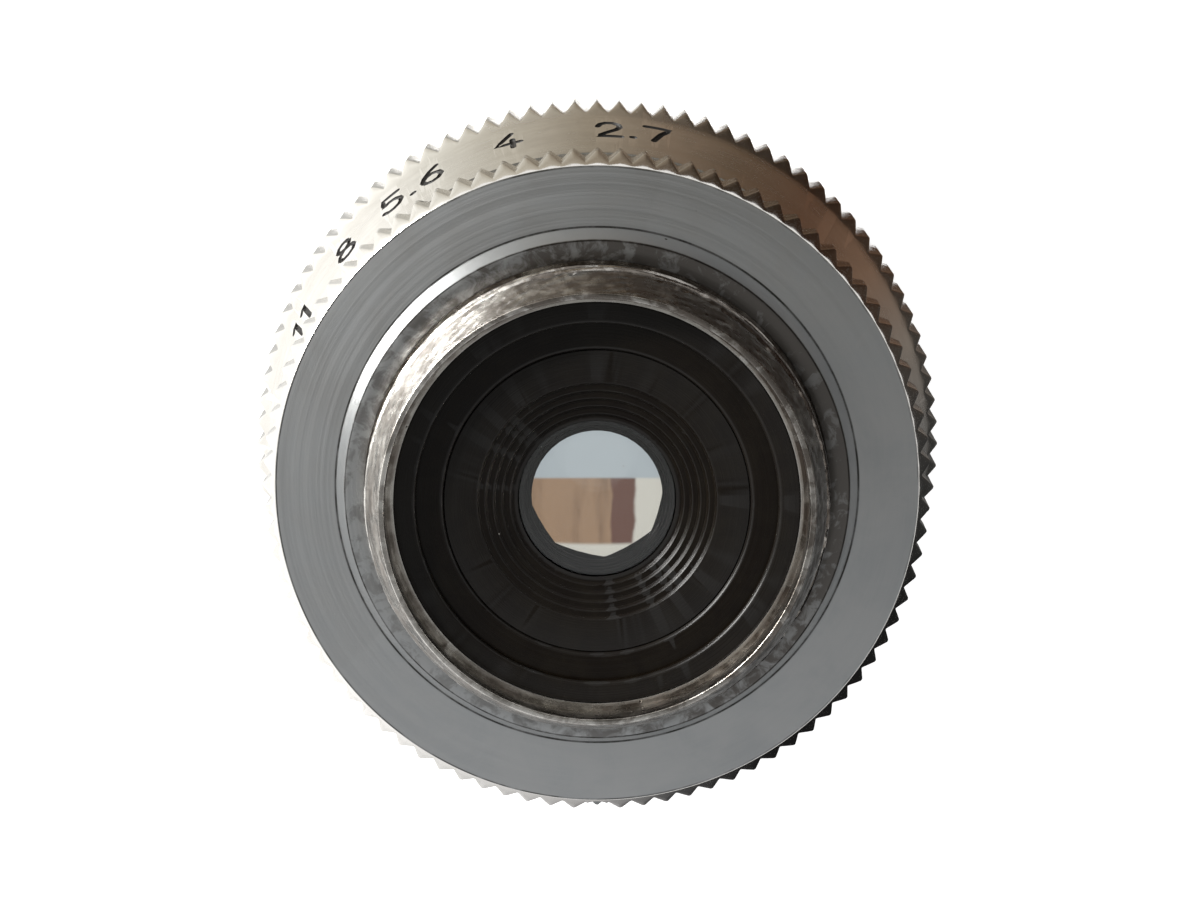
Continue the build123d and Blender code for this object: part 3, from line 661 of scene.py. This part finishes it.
def makeTube():
    size, look = lensSize, tubeLook
    stubZ = flangeZ + size["stubAbove"]
    stub = []
    rows = ceil((stubZ - footZ) / look["rowStep"])
    for row in range(rows + 1):
        z = footZ + (stubZ - footZ) * row / rows
        share = max(0.0, (z - leadZ) / (stubZ - leadZ))
        stub.append((size["threadRadius"] + (size["leadInRadius"] - size["threadRadius"]) * share, z))
    lower = rounded([
        (look["hoodBore"], look["front"]), (size["journalRadius"], look["front"], 0.05),
        (size["journalRadius"], look["grooveLow"]), (look["grooveRadius"], look["grooveLow"]),
        (look["grooveRadius"], look["grooveHigh"]), (size["journalRadius"], look["grooveHigh"]),
        (size["journalRadius"], shoulderZ, 0.04),
        (size["registerRadius"], shoulderZ), (size["registerRadius"], lipZ - 0.05, 0.04),
        (size["reliefRadius"], lipZ - 0.05), (size["reliefRadius"], footZ)])
    upper = rounded([
        (size["leadInRadius"], stubZ, 0.05), (size["mouthRadius"], stubZ, look["endRound"]),
        (size["mouthRadius"], look["cellSeat"]), (look["cellBore"], look["cellSeat"]),
        (look["cellBore"], look["irisPlate"]), (look["irisBore"], look["irisPlate"]),
        (look["irisBore"], look["hoodStep"]), (look["hoodBore"], look["hoodStep"])])
    profile = lower + stub[:-1] + upper

    def shape(angle, r, z):
        onThread = footZ <= z and r > size["reliefRadius"] + 0.01
        onLeadIn = leadZ < z and r > size["leadInRadius"] + 0.01
        if z <= stubZ - look["endRound"] and (onThread or onLeadIn):
            return threadShape(angle, r, z)
        return r, z

    return turnPiece("mainTubeThreaded", profile, look["columns"], shape)


settle(makeTube(), "main_tube", "lens_body", wornThread)
print("tube made")

# Flange barrel

barrelLook = {
    "teeth": 88, "tip": 11.65, "depth": 0.36, "flange": 11.18, "bevel": 0.6, "low": 12.7, "frontBevel": 0.35,
    "soft": 0.03, "seatFoot": 9.06, "seatTop": 8.72, "bore": 8.0175, "ripple": 0.006, "chromeFrom": 11.06,
    "indexRadius": 11.13, "indexFrom": 9.35, "indexStep": 0.35, "indexWidth": 0.1,
    "screwFrom": -8.6, "screwStep": 1.6, "screwBelow": 0.6, "screwRadius": 0.52,
}


def crestRipple(k, share, phase):
    # slight unevenness along the crest of a knurl tooth
    return k["ripple"] * sin(phase) * (1 if share < 0.1 or share > 0.9 else 0)


def barrelColumn(share, wear, angle):
    b = barrelLook
    tooth = toothRadius(b["tip"], b["depth"], share, wear)
    rise = (tooth - b["flange"]) / (b["tip"] - b["flange"])
    crossZ = flangeZ - b["bevel"] * rise
    root = b["tip"] - b["depth"]
    lowZ = b["low"] + b["frontBevel"] * (tooth - root) / b["depth"]
    soft = b["soft"]
    ripple = crestRipple(b, share, angle * 211 + 3)
    register = lensSize["registerRadius"] + lensSize["boreGap"]
    neckZ = flangeZ - lensSize["neckBelow"]
    inner = rounded([
        (register, shoulderZ), (register, lipZ), (b["bore"], lipZ), (b["bore"], seatZ, 0.03),
        (b["seatTop"], seatZ, 0.05), (b["seatFoot"], flangeZ, 0.03), (b["flange"] - 0.02, flangeZ)], 2)
    teethRows = [
        (b["flange"] + 0.006, flangeZ - 0.008),
        (b["flange"] + (tooth - b["flange"]) * 0.5, flangeZ - b["bevel"] * rise * 0.5),
        (tooth - soft * 0.62, crossZ + soft * 0.78),
        (tooth - 0.005, crossZ - 0.004),
        (tooth, crossZ - soft * 1.2),
        (tooth - abs(ripple), flangeZ - 1.0),
        (tooth - abs(ripple) * 0.3, flangeZ - 1.5),
        (tooth, lowZ + soft),
        (tooth - soft * 0.5, lowZ - soft * 0.3),
        (root - 0.02, b["low"]),
    ]
    outer = rounded([
        (lensSize["neckRadius"], b["low"], 0.03), (lensSize["neckRadius"], neckZ, 0.12),
        (lensSize["neckBore"], neckZ, 0.12), (lensSize["neckBore"], shoulderZ)], 2)
    return inner + teethRows + outer


def makeBarrel():
    b = barrelLook
    piece = knurledPiece("flangeBarrelKnurled", b["teeth"], barrelColumn)
    for material in (satinFlange, brightKnurl, numberPaint):
        piece.data.materials.append(material)
    for face in piece.data.polygons:
        centre = face.center / mm
        if hypot(centre.x, centre.y) > b["chromeFrom"] and centre.z < flangeZ - 0.002:
            face.material_index = 1
    indexPath = [(0, b["indexRadius"], b["indexFrom"] + step * b["indexStep"]) for step in range(7)]
    holePath = [(0, b["screwFrom"] - step * b["screwStep"], flangeZ - b["screwBelow"]) for step in range(3)]
    cutWith(piece, [capsuleSweep("indexCutter", indexPath, b["indexWidth"], numberPaint),
                    capsuleSweep("screwHole", holePath, b["screwRadius"], satinFlange, 24)])
    return piece


settle(makeBarrel(), "flange_barrel", "lens_body")
print("flange barrel made")

# Aperture ring with its numbers

ringLook = {
    "teeth": 96, "tip": 12.68, "depth": 0.36, "bevel": 0.5, "low": 1.9, "frontBevel": 0.35, "dialFoot": 5.85,
    "dialTop": 8.95, "dialLarge": 12.24, "dialSmall": 11.15, "soft": 0.03, "skirtTop": shoulderZ - 0.05,
    "ripple": 0.006,
}


def ringColumn(share, wear, angle):
    k = ringLook
    tooth = toothRadius(k["tip"], k["depth"], share, wear)
    root = k["tip"] - k["depth"]
    soft = k["soft"]
    crossZ = k["dialFoot"] - k["bevel"] * max(0.0, (tooth - k["dialLarge"]) / (k["tip"] - k["dialLarge"]))
    lowZ = k["low"] + k["frontBevel"] * (tooth - root) / k["depth"]
    ripple = crestRipple(k, share, angle * 173 + 1)
    upper = rounded([
        (lensSize["ringBore"], k["low"]), (lensSize["ringBore"], k["skirtTop"], 0.05),
        (lensSize["skirtRadius"], k["skirtTop"], 0.05), (lensSize["skirtRadius"], k["dialTop"]),
        (k["dialSmall"], k["dialTop"], 0.05)], 2)
    dial = []
    for step in range(1, 4):
        part = step / 4
        dial.append((k["dialSmall"] + (k["dialLarge"] - k["dialSmall"]) * part,
                     k["dialTop"] + (k["dialFoot"] - k["dialTop"]) * part))
    dial.append((k["dialLarge"], k["dialFoot"]))
    teethRows = [
        (k["dialLarge"] + (tooth - k["dialLarge"]) * 0.5, k["dialFoot"] + (crossZ - k["dialFoot"]) * 0.5),
        (tooth - soft * 0.6, crossZ + soft * 0.7),
        (tooth - 0.004, crossZ - 0.004),
        (tooth, crossZ - soft * 1.2),
        (tooth - abs(ripple), 4.4),
        (tooth - abs(ripple) * 0.3, 3.3),
        (tooth, lowZ + soft),
        (tooth - soft * 0.5, lowZ - soft * 0.3),
        (root - 0.03, k["low"]),
    ]
    return upper + dial + teethRows


glyphs = {
    "1": [[(0.2, 0.8), (0.42, 1.0), (0.42, 0.0)]],
    "2": [[(0.04, 0.74), (0.1, 0.9), (0.26, 1.0), (0.48, 1.0), (0.66, 0.88), (0.7, 0.7), (0.6, 0.52),
           (0.3, 0.26), (0.02, 0.0), (0.76, 0.0)]],
    "4": [[(0.52, 1.0), (0.0, 0.3), (0.78, 0.3)], [(0.54, 0.55), (0.54, 0.0)]],
    "5": [[(0.7, 1.0), (0.14, 1.0), (0.08, 0.56), (0.3, 0.64), (0.52, 0.6), (0.7, 0.44), (0.72, 0.26),
           (0.6, 0.08), (0.38, 0.0), (0.16, 0.02), (0.02, 0.14)]],
    "6": [[(0.62, 0.98), (0.36, 0.8), (0.14, 0.54), (0.04, 0.3), (0.12, 0.1), (0.34, 0.0), (0.58, 0.06),
           (0.72, 0.26), (0.64, 0.48), (0.42, 0.58), (0.2, 0.5), (0.07, 0.34)]],
    "7": [[(0.0, 1.0), (0.76, 1.0), (0.5, 0.56), (0.3, 0.0)]],
    "8": [[(0.38, 0.54), (0.16, 0.64), (0.1, 0.8), (0.22, 0.96), (0.38, 1.0), (0.54, 0.96), (0.66, 0.8),
           (0.6, 0.64), (0.38, 0.54), (0.1, 0.42), (0.02, 0.24), (0.14, 0.06), (0.38, 0.0), (0.62, 0.06),
           (0.74, 0.24), (0.66, 0.42), (0.38, 0.54)]],
    ".": [[(0.36, 0.04), (0.42, 0.04)]],
}
dialLook = {
    "labels": (("2.7", 6.4), ("4", -16.0), ("5.6", -35.0), ("8", -51.0), ("11", -66.0)),
    "height": 1.16, "width": 1.2, "advance": 0.736, "pointAdvance": 0.8804, "fromFoot": 1.28,
    "cutter": 0.12, "glyphMiddle": (0.38, 0.5),
}


def makeNumberCutters():
    k, d = ringLook, dialLook
    slope = atan2(k["dialLarge"] - k["dialSmall"], k["dialTop"] - k["dialFoot"])
    middleZ = k["dialFoot"] + d["fromFoot"] * cos(slope)
    middleR = k["dialLarge"] - d["fromFoot"] * sin(slope)
    cutters = []
    for text, fromTop in d["labels"]:
        places, along = [], 0.0
        for index, letter in enumerate(text):
            narrow = letter == "." or (index and text[index - 1] == ".")
            if index:
                along += d["pointAdvance"] if narrow else d["advance"]
            places.append(along)
        centre = along / 2
        for letter, place in zip(text, places):
            for number, stroke in enumerate(glyphs[letter]):
                path, fine = [], []
                for start, end in zip(stroke, stroke[1:]):
                    for step in range(3):
                        fine.append((start[0] + (end[0] - start[0]) * step / 3,
                                     start[1] + (end[1] - start[1]) * step / 3))
                fine.append(stroke[-1])
                for u, v in fine:
                    s = (u - d["glyphMiddle"][0]) * d["width"] + place - centre
                    t = (v - d["glyphMiddle"][1]) * d["height"]
                    radius = middleR + t * sin(slope)
                    height = middleZ - t * cos(slope)
                    angle = radians(90 - fromTop) - s / middleR
                    path.append((radius * cos(angle), radius * sin(angle), height))
                cutters.append(capsuleSweep(f"cut{text}_{letter}{number}", path, d["cutter"], numberPaint, 8))
    return cutters


apertureRing = knurledPiece("apertureRingKnurled", ringLook["teeth"], ringColumn)
apertureRing.data.materials.append(brightKnurl)
apertureRing.data.materials.append(numberPaint)
cutWith(apertureRing, makeNumberCutters())
settle(apertureRing, "aperture_ring", "ring")
print("aperture ring made")

# Rear cell, retaining ring and lenses


def sag(radius, curvature):
    return curvature - sqrt(curvature ** 2 - radius ** 2)


def arc(fromR, toR, vertexZ, curvature, bulge, steps=14):
    # points of a spherical face; bulge is +1 where the rim lies below the vertex
    result = []
    for step in range(steps + 1):
        r = fromR + (toR - fromR) * step / steps
        result.append((r, vertexZ - bulge * sag(r, curvature)))
    return result


# closed (r, z, fillet) profile of the black cell
rearCellLook = {
    "columns": 256,
    "profile": (
        (2.6, 16.65), (6.88, 16.65), (6.88, 18.35, 0.04), (6.25, 18.35, 0.1), (6.15, 18.25, 0.1),
        (6.15, 18.0), (5.32, 18.0, 0.08), (5.22, 17.9, 0.05), (5.22, 17.05), (3.32, 17.05), (3.32, 16.75),
        (2.6, 16.75)),
}
cell = turnPiece("rearCellTurned", rounded(rearCellLook["profile"]), rearCellLook["columns"])
settle(cell, "rear_cell", "lens_body", blackCell)

lensLook = {
    "columns": 128, "sharpAngle": 25,
    "rear": {"radius": 3.3, "flat": 16.75, "rim": 17.05, "curvature": 9.0},
    "middle": {"radius": 2.98, "hollow": 2.68, "low": 12.65, "high": 13.85, "lowCurve": 9.0,
               "highCurve": 8.0},
    "front": {"radius": 3.58, "flat": 12.15, "rim": 11.65, "curvature": 7.0},
}
rear, middle, front = lensLook["rear"], lensLook["middle"], lensLook["front"]
rearVertex = rear["rim"] + sag(rear["radius"], rear["curvature"])

retainerLook = {
    "columns": 256, "radius": 5.2, "top": 17.88, "foot": 17.07, "ribs": 5, "ribTop": 4.1, "ribWidth": 0.28,
    "ribDrop": 0.11, "ribSlant": 0.1, "ribRound": 0.03, "lip": 2.7, "lipTop": 17.33, "gap": 0.02,
}


def makeRetainer():
    k = retainerLook
    ribs = []
    for rib in range(k["ribs"]):
        ribR = k["ribTop"] - rib * k["ribWidth"]
        ribZ = k["top"] - rib * k["ribDrop"]
        ribs += [(ribR, ribZ, k["ribRound"]), (ribR - k["ribSlant"], ribZ - k["ribDrop"])]
    lipZ = rearVertex - sag(k["lip"], rear["curvature"]) + k["gap"]
    profile = [(k["radius"], k["foot"]), (k["radius"], k["top"], 0.04)] + ribs
    profile += [(k["lip"], k["lipTop"]), (k["lip"], lipZ), (rear["radius"], k["foot"])]
    return turnPiece("rearRetainerRibbed", rounded(profile), k["columns"])


def makeLens(name, node, profile):
    lens = turnPiece(name, profile, lensLook["columns"], sharpAngle=lensLook["sharpAngle"])
    settle(lens, node, "lens_body", lensGlass)


settle(makeRetainer(), "rear_retainer", "lens_body", blackCell)
makeLens("rearLensPolished", "rear_lens", [
    (0, rear["flat"]), (rear["radius"], rear["flat"]), (rear["radius"], rear["rim"]),
    *arc(rear["radius"], 0, rearVertex, rear["curvature"], 1)[1:]])
middleHigh = middle["high"] - sag(middle["hollow"], middle["highCurve"])
middleLow = middle["low"] + sag(middle["hollow"], middle["lowCurve"])
makeLens("middleLensPolished", "middle_lens", [
    (middle["radius"], middle["high"]), (middle["hollow"], middle["high"]),
    *arc(middle["hollow"], 0, middleHigh, middle["highCurve"], -1)[1:],
    *arc(0, middle["hollow"], middleLow, middle["lowCurve"], 1), (middle["radius"], middle["low"])])
frontVertex = front["rim"] - sag(front["radius"], front["curvature"])
makeLens("frontLensPolished", "front_lens", [
    (0, front["flat"]), (front["radius"], front["flat"]), (front["radius"], front["rim"]),
    *arc(front["radius"], 0, frontVertex, front["curvature"], -1)[1:]])
print("rear cell and lenses made")

# Carried-over pieces

finishes = {
    "flange_set_screw": plainSteel, "drive_screw": plainSteel, "friction_spring": plainSteel,
    "front_ring": brightKnurl, "front_hood": blackCell, "front_cell": blackCell, "lens_spacer": blackCell,
    "front_retainer": blackCell, "iris_base_plate": blackCell, "iris_drive_ring": blackCell,
}
for blade in range(1, 9):
    finishes[f"iris_blade_{blade}"] = blackBlade
for node, material in finishes.items():
    carried = frame["nodes"][node]
    for carriedSlot in carried.material_slots:
        carriedSlot.material = material

# Floor, reflectors and light

stageLook = {
    "floorSize": 3.0, "floorColour": rgb(0.86, 0.86, 0.86), "floorGrain": rgb(0.9, 0.9, 0.9),
    "grainScale": 900.0, "floorRoughness": 0.85, "floorGlow": 0.6, "floorMirrored": 0.9,
    "worldDiffuse": 0.55, "worldWhite": 1.0,
}


def makeFloor():
    half = stageLook["floorSize"] / 2
    floor = newPiece("paleFloor", [(-half / mm, -half / mm, 0), (half / mm, -half / mm, 0),
                                   (half / mm, half / mm, 0), (-half / mm, half / mm, 0)], [(0, 1, 2, 3)],
                     weighted=False)
    material, n, shader = newMaterial("paleFloorPaint", Roughness=stageLook["floorRoughness"])
    grain = n.noise(n.objectPlace(), stageLook["grainScale"], 3.0)
    n.link(n.mix(grain, stageLook["floorColour"], stageLook["floorGrain"]), shader["Base Color"])
    shader["Specular IOR Level"].default_value = 0.1
    path = n.add("ShaderNodeLightPath").outputs
    seen = n.times(path["Is Camera Ray"], stageLook["floorGlow"])
    mirrored = n.math("MAXIMUM", path["Is Glossy Ray"], path["Is Transmission Ray"])
    shader["Emission Color"].default_value = rgb(1, 1, 1)
    mirrored = n.times(mirrored, stageLook["floorMirrored"])
    n.link(n.plus(seen, mirrored), shader["Emission Strength"])
    floor.data.materials.append(material)


makeFloor()


def makeWorld():
    world = bpy.data.worlds.new("softRoom")
    bpy.context.scene.world = world
    world.use_nodes = True
    n = Nodes(world.node_tree)
    background = world.node_tree.nodes["Background"]
    path = n.add("ShaderNodeLightPath").outputs
    mirrored = n.math("MAXIMUM", path["Is Glossy Ray"], path["Is Transmission Ray"])
    white = n.math("MAXIMUM", path["Is Camera Ray"], mirrored)
    strength = n.ramp(white, 0.0, 1.0, stageLook["worldDiffuse"], stageLook["worldWhite"])
    background.inputs["Color"].default_value = rgb(1, 1, 1)
    n.link(strength, background.inputs["Strength"])


makeWorld()

# Cards that only the metal sees: a ceiling that darkens towards the top of the picture, and a wide
# collar round the lens whose colour follows the azimuth, from white at the left over brown to black.
cardLook = {
    "ceilingHeight": 0.30, "ceilingRadius": 0.5, "ceilingNear": rgb(0.5, 0.51, 0.52),
    "ceilingFar": rgb(0.13, 0.125, 0.11), "ceilingFrom": -0.28, "ceilingTo": 0.16,
    # painted contact shadow: the collar's glow at its inner edge, and the radius where it is back to full
    "columns": 96, "lift": 0.03, "inner": 12.9, "outer": 70.0, "rise": 30.0, "paintedContactShadow": 0.45,
    "paintedContactShadowEnd": 17.0, "farStart": 20.0, "farEnd": 28.0, "farDark": 0.75, "darkFrom": -0.1, "darkTo": 0.5,
    "round": (
        (0, (0.17, 0.165, 0.16)), (14, (0.22, 0.19, 0.165)), (30, (0.2, 0.125, 0.085)),
        (46, (0.12, 0.065, 0.04)), (62, (0.14, 0.095, 0.062)), (76, (0.24, 0.18, 0.13)),
        (92, (0.36, 0.31, 0.24)), (108, (0.62, 0.58, 0.5)), (122, (0.9, 0.88, 0.81)),
        (138, (1.35, 1.34, 1.3)), (180, (1.4, 1.4, 1.38)), (225, (1.3, 1.3, 1.3)), (262, (0.6, 0.6, 0.61)),
        (282, (0.12, 0.12, 0.125)), (300, (0.04, 0.04, 0.042)), (330, (0.05, 0.05, 0.05)),
        (348, (0.12, 0.12, 0.12)), (360, (0.17, 0.165, 0.16))),
}


def cardMaterial(name):
    material, n, shader = newMaterial(name, Roughness=1.0)
    shader["Base Color"].default_value = rgb(0, 0, 0)
    shader["Specular IOR Level"].default_value = 0.0
    shader["Emission Strength"].default_value = 1.0
    return material, n, shader


def hideFrom(card, *rays):
    for ray in rays:
        setattr(card, "visible_" + ray, False)


def disc(name, radius, height, corners):
    turns = [2 * pi * corner / corners for corner in range(corners)]
    points = [(radius * cos(turn), radius * sin(turn), height) for turn in turns]
    return newPiece(name, points, [tuple(range(corners))], weighted=False)


def makeCeiling():
    look = cardLook
    card = disc("ceilingCard", look["ceilingRadius"] / mm, look["ceilingHeight"] / mm, 48)
    material, n, shader = cardMaterial("ceilingGrey")
    x, y, z = n.separate(n.objectPlace())
    share = n.ramp(y, look["ceilingFrom"], look["ceilingTo"])
    n.link(n.mix(share, look["ceilingNear"], look["ceilingFar"]), shader["Emission Color"])
    card.data.materials.append(material)
    hideFrom(card, "camera", "shadow", "diffuse")


def makeCollar():
    look = cardLook
    profile = [(r, look["lift"]) for r in (look["inner"], look["paintedContactShadowEnd"], look["outer"])]
    profile.append((look["outer"], look["rise"]))
    points, faces = [], []
    columns = look["columns"]
    for column in range(columns):
        angle = 2 * pi * column / columns
        points += [(r * cos(angle), r * sin(angle), z) for r, z in profile]
    for column in range(columns):
        for row in range(3):
            first, second = column * 4 + row, (column + 1) % columns * 4 + row
            faces.append((first, second, second + 1, first + 1))
    card = newPiece("roomCollar", points, faces, weighted=False)
    material, n, shader = cardMaterial("roomCollarPaint")
    x, y, z = n.separate(n.objectPlace())
    around = n.math("FRACT", n.plus(n.math("DIVIDE", n.math("ARCTAN2", y, x), 2 * pi), 1.0))
    ramp = n.add("ShaderNodeValToRGB")
    n.link(around, ramp.inputs[0])
    stops = ramp.color_ramp.elements
    stops[0].color, stops[1].color = rgb(*look["round"][0][1]), rgb(*look["round"][-1][1])
    for angle, paint in look["round"][1:-1]:
        stops.new(angle / 360).color = rgb(*paint)
    distance = n.distance(x, y)
    # painted contact shadow: the collar glows weaker near the lens, where the lens's shadow would fall on the
    # table
    paintedContactShadow = n.ramp(distance, look["inner"] * mm, look["paintedContactShadowEnd"] * mm, look["paintedContactShadow"], 1.0)
    rightSide = n.ramp(n.math("DIVIDE", x, distance), look["darkFrom"], look["darkTo"])
    far = n.times(n.ramp(distance, look["farStart"] * mm, look["farEnd"] * mm), rightSide)
    n.link(ramp.outputs[0], shader["Emission Color"])
    dimmed = n.minus(1.0, n.times(far, look["farDark"]))
    n.link(n.times(paintedContactShadow, dimmed), shader["Emission Strength"])
    card.data.materials.append(material)
    hideFrom(card, "camera", "shadow", "diffuse", "transmission")


makeCeiling()
makeCollar()

# What shows through the lens: a small card on the table below the hood, glowing with a painted image of the
# room as the lens shows it
viewLook = {
    "height": 0.06, "radius": 7.4, "horizon": -2.61, "blockRight": 0.3, "bandRight": 0.8, "blockLow": -4.07,
    "soft": 0.04, "sideSoft": 0.05, "lowSoft": 0.06, "upper": rgb(0.52, 0.56, 0.6),
    "cream": rgb(0.78, 0.73, 0.66), "block": rgb(0.42, 0.26, 0.16), "dark": rgb(0.22, 0.125, 0.075),
    "band": rgb(0.17, 0.075, 0.055),
}


def makeViewCard():
    look = viewLook
    card = disc("glowingViewCard", look["radius"], look["height"], 64)
    material, n, shader = cardMaterial("glowingViewCardPaint")
    x, y, z = n.separate(n.objectPlace())
    x = n.math("DIVIDE", x, mm)
    y = n.math("DIVIDE", y, mm)
    spot = n.combine(x, y, 0.0)
    edge = n.times(n.minus(n.noise(spot, 2.2, 4.0), 0.5), 0.16)
    x = n.plus(x, edge)
    streak = n.noise(n.combine(n.times(x, 1.5), n.times(y, 0.25), 0.0), 1.0, 4.0)
    paint = n.mix(n.ramp(streak, 0.45, 0.72), look["block"], look["dark"])

    def cover(place, at, soft, under, over, below=0.0, above=1.0):
        return n.mix(n.ramp(place, at - soft, at + soft, below, above), under, over)

    paint = cover(x, look["blockRight"], look["soft"], paint, look["band"])
    paint = cover(x, look["bandRight"], look["sideSoft"], paint, look["cream"])
    paint = cover(y, look["blockLow"], look["lowSoft"], paint, look["cream"], 1.0, 0.0)
    paint = cover(y, look["horizon"], look["soft"], paint, look["upper"])
    specks = n.group(spotGroup, Density=1.6, Size=0.07, Share=0.3, Ragged=1.0)
    paint = n.mix(n.times(specks["Mask"], 0.8), paint, rgb(0.1, 0.08, 0.07))
    # painted view: the card glows with the room's image and is lit by no lamp
    n.link(paint, shader["Emission Color"])
    card.data.materials.append(material)
    hideFrom(card, "glossy", "diffuse", "shadow")


makeViewCard()


def areaLight(name, azimuth, elevation, distance, size, power, tint=(1, 1, 1)):
    lamp = bpy.data.lights.new(name, "AREA")
    lamp.shape = "DISK"
    lamp.size = size
    lamp.energy = power
    lamp.color = tint
    light = bpy.data.objects.new(name, lamp)
    bpy.context.scene.collection.objects.link(light)
    direction = Vector((cos(radians(azimuth)) * cos(radians(elevation)),
                        sin(radians(azimuth)) * cos(radians(elevation)), sin(radians(elevation))))
    light.location = direction * distance + Vector((0, 0, 0.01))
    light.rotation_euler = direction.to_track_quat("Z", "Y").to_euler()
    light.visible_camera = False


areaLight("windowLight", 150, 22, 0.6, 0.26, 6.5, (1.0, 0.99, 0.97))
areaLight("softFill", -60, 62, 0.9, 0.6, 1.0, (0.97, 0.98, 1.0))
areaLight("narrowLamp", 138, 36, 0.5, 0.06, 1.3)
print("stage and light made")

# Camera

cameraLook = {
    "tilt": 9.8, "distance": 0.130, "focalPixels": 3744.0, "offsetX": -3.0, "offsetY": 37.5,
    "widthPixels": 1200, "sensor": 36.0,
}


def makeCamera():
    tilt = radians(cameraLook["tilt"])
    data = bpy.data.cameras.new("viewCamera")
    camera = bpy.data.objects.new("viewCamera", data)
    bpy.context.scene.collection.objects.link(camera)
    data.sensor_width = cameraLook["sensor"]
    data.lens = cameraLook["focalPixels"] / cameraLook["widthPixels"] * cameraLook["sensor"]
    data.shift_x = -cameraLook["offsetX"] / cameraLook["widthPixels"]
    data.shift_y = cameraLook["offsetY"] / cameraLook["widthPixels"]
    data.clip_start = 0.002
    data.clip_end = 10
    distance = cameraLook["distance"]
    camera.location = (0, distance * sin(tilt), flangeZ * mm + distance * cos(tilt))
    camera.rotation_euler = (-tilt, 0, 0)
    bpy.context.scene.camera = camera


makeCamera()
bpy.context.scene.view_settings.view_transform = "Standard"
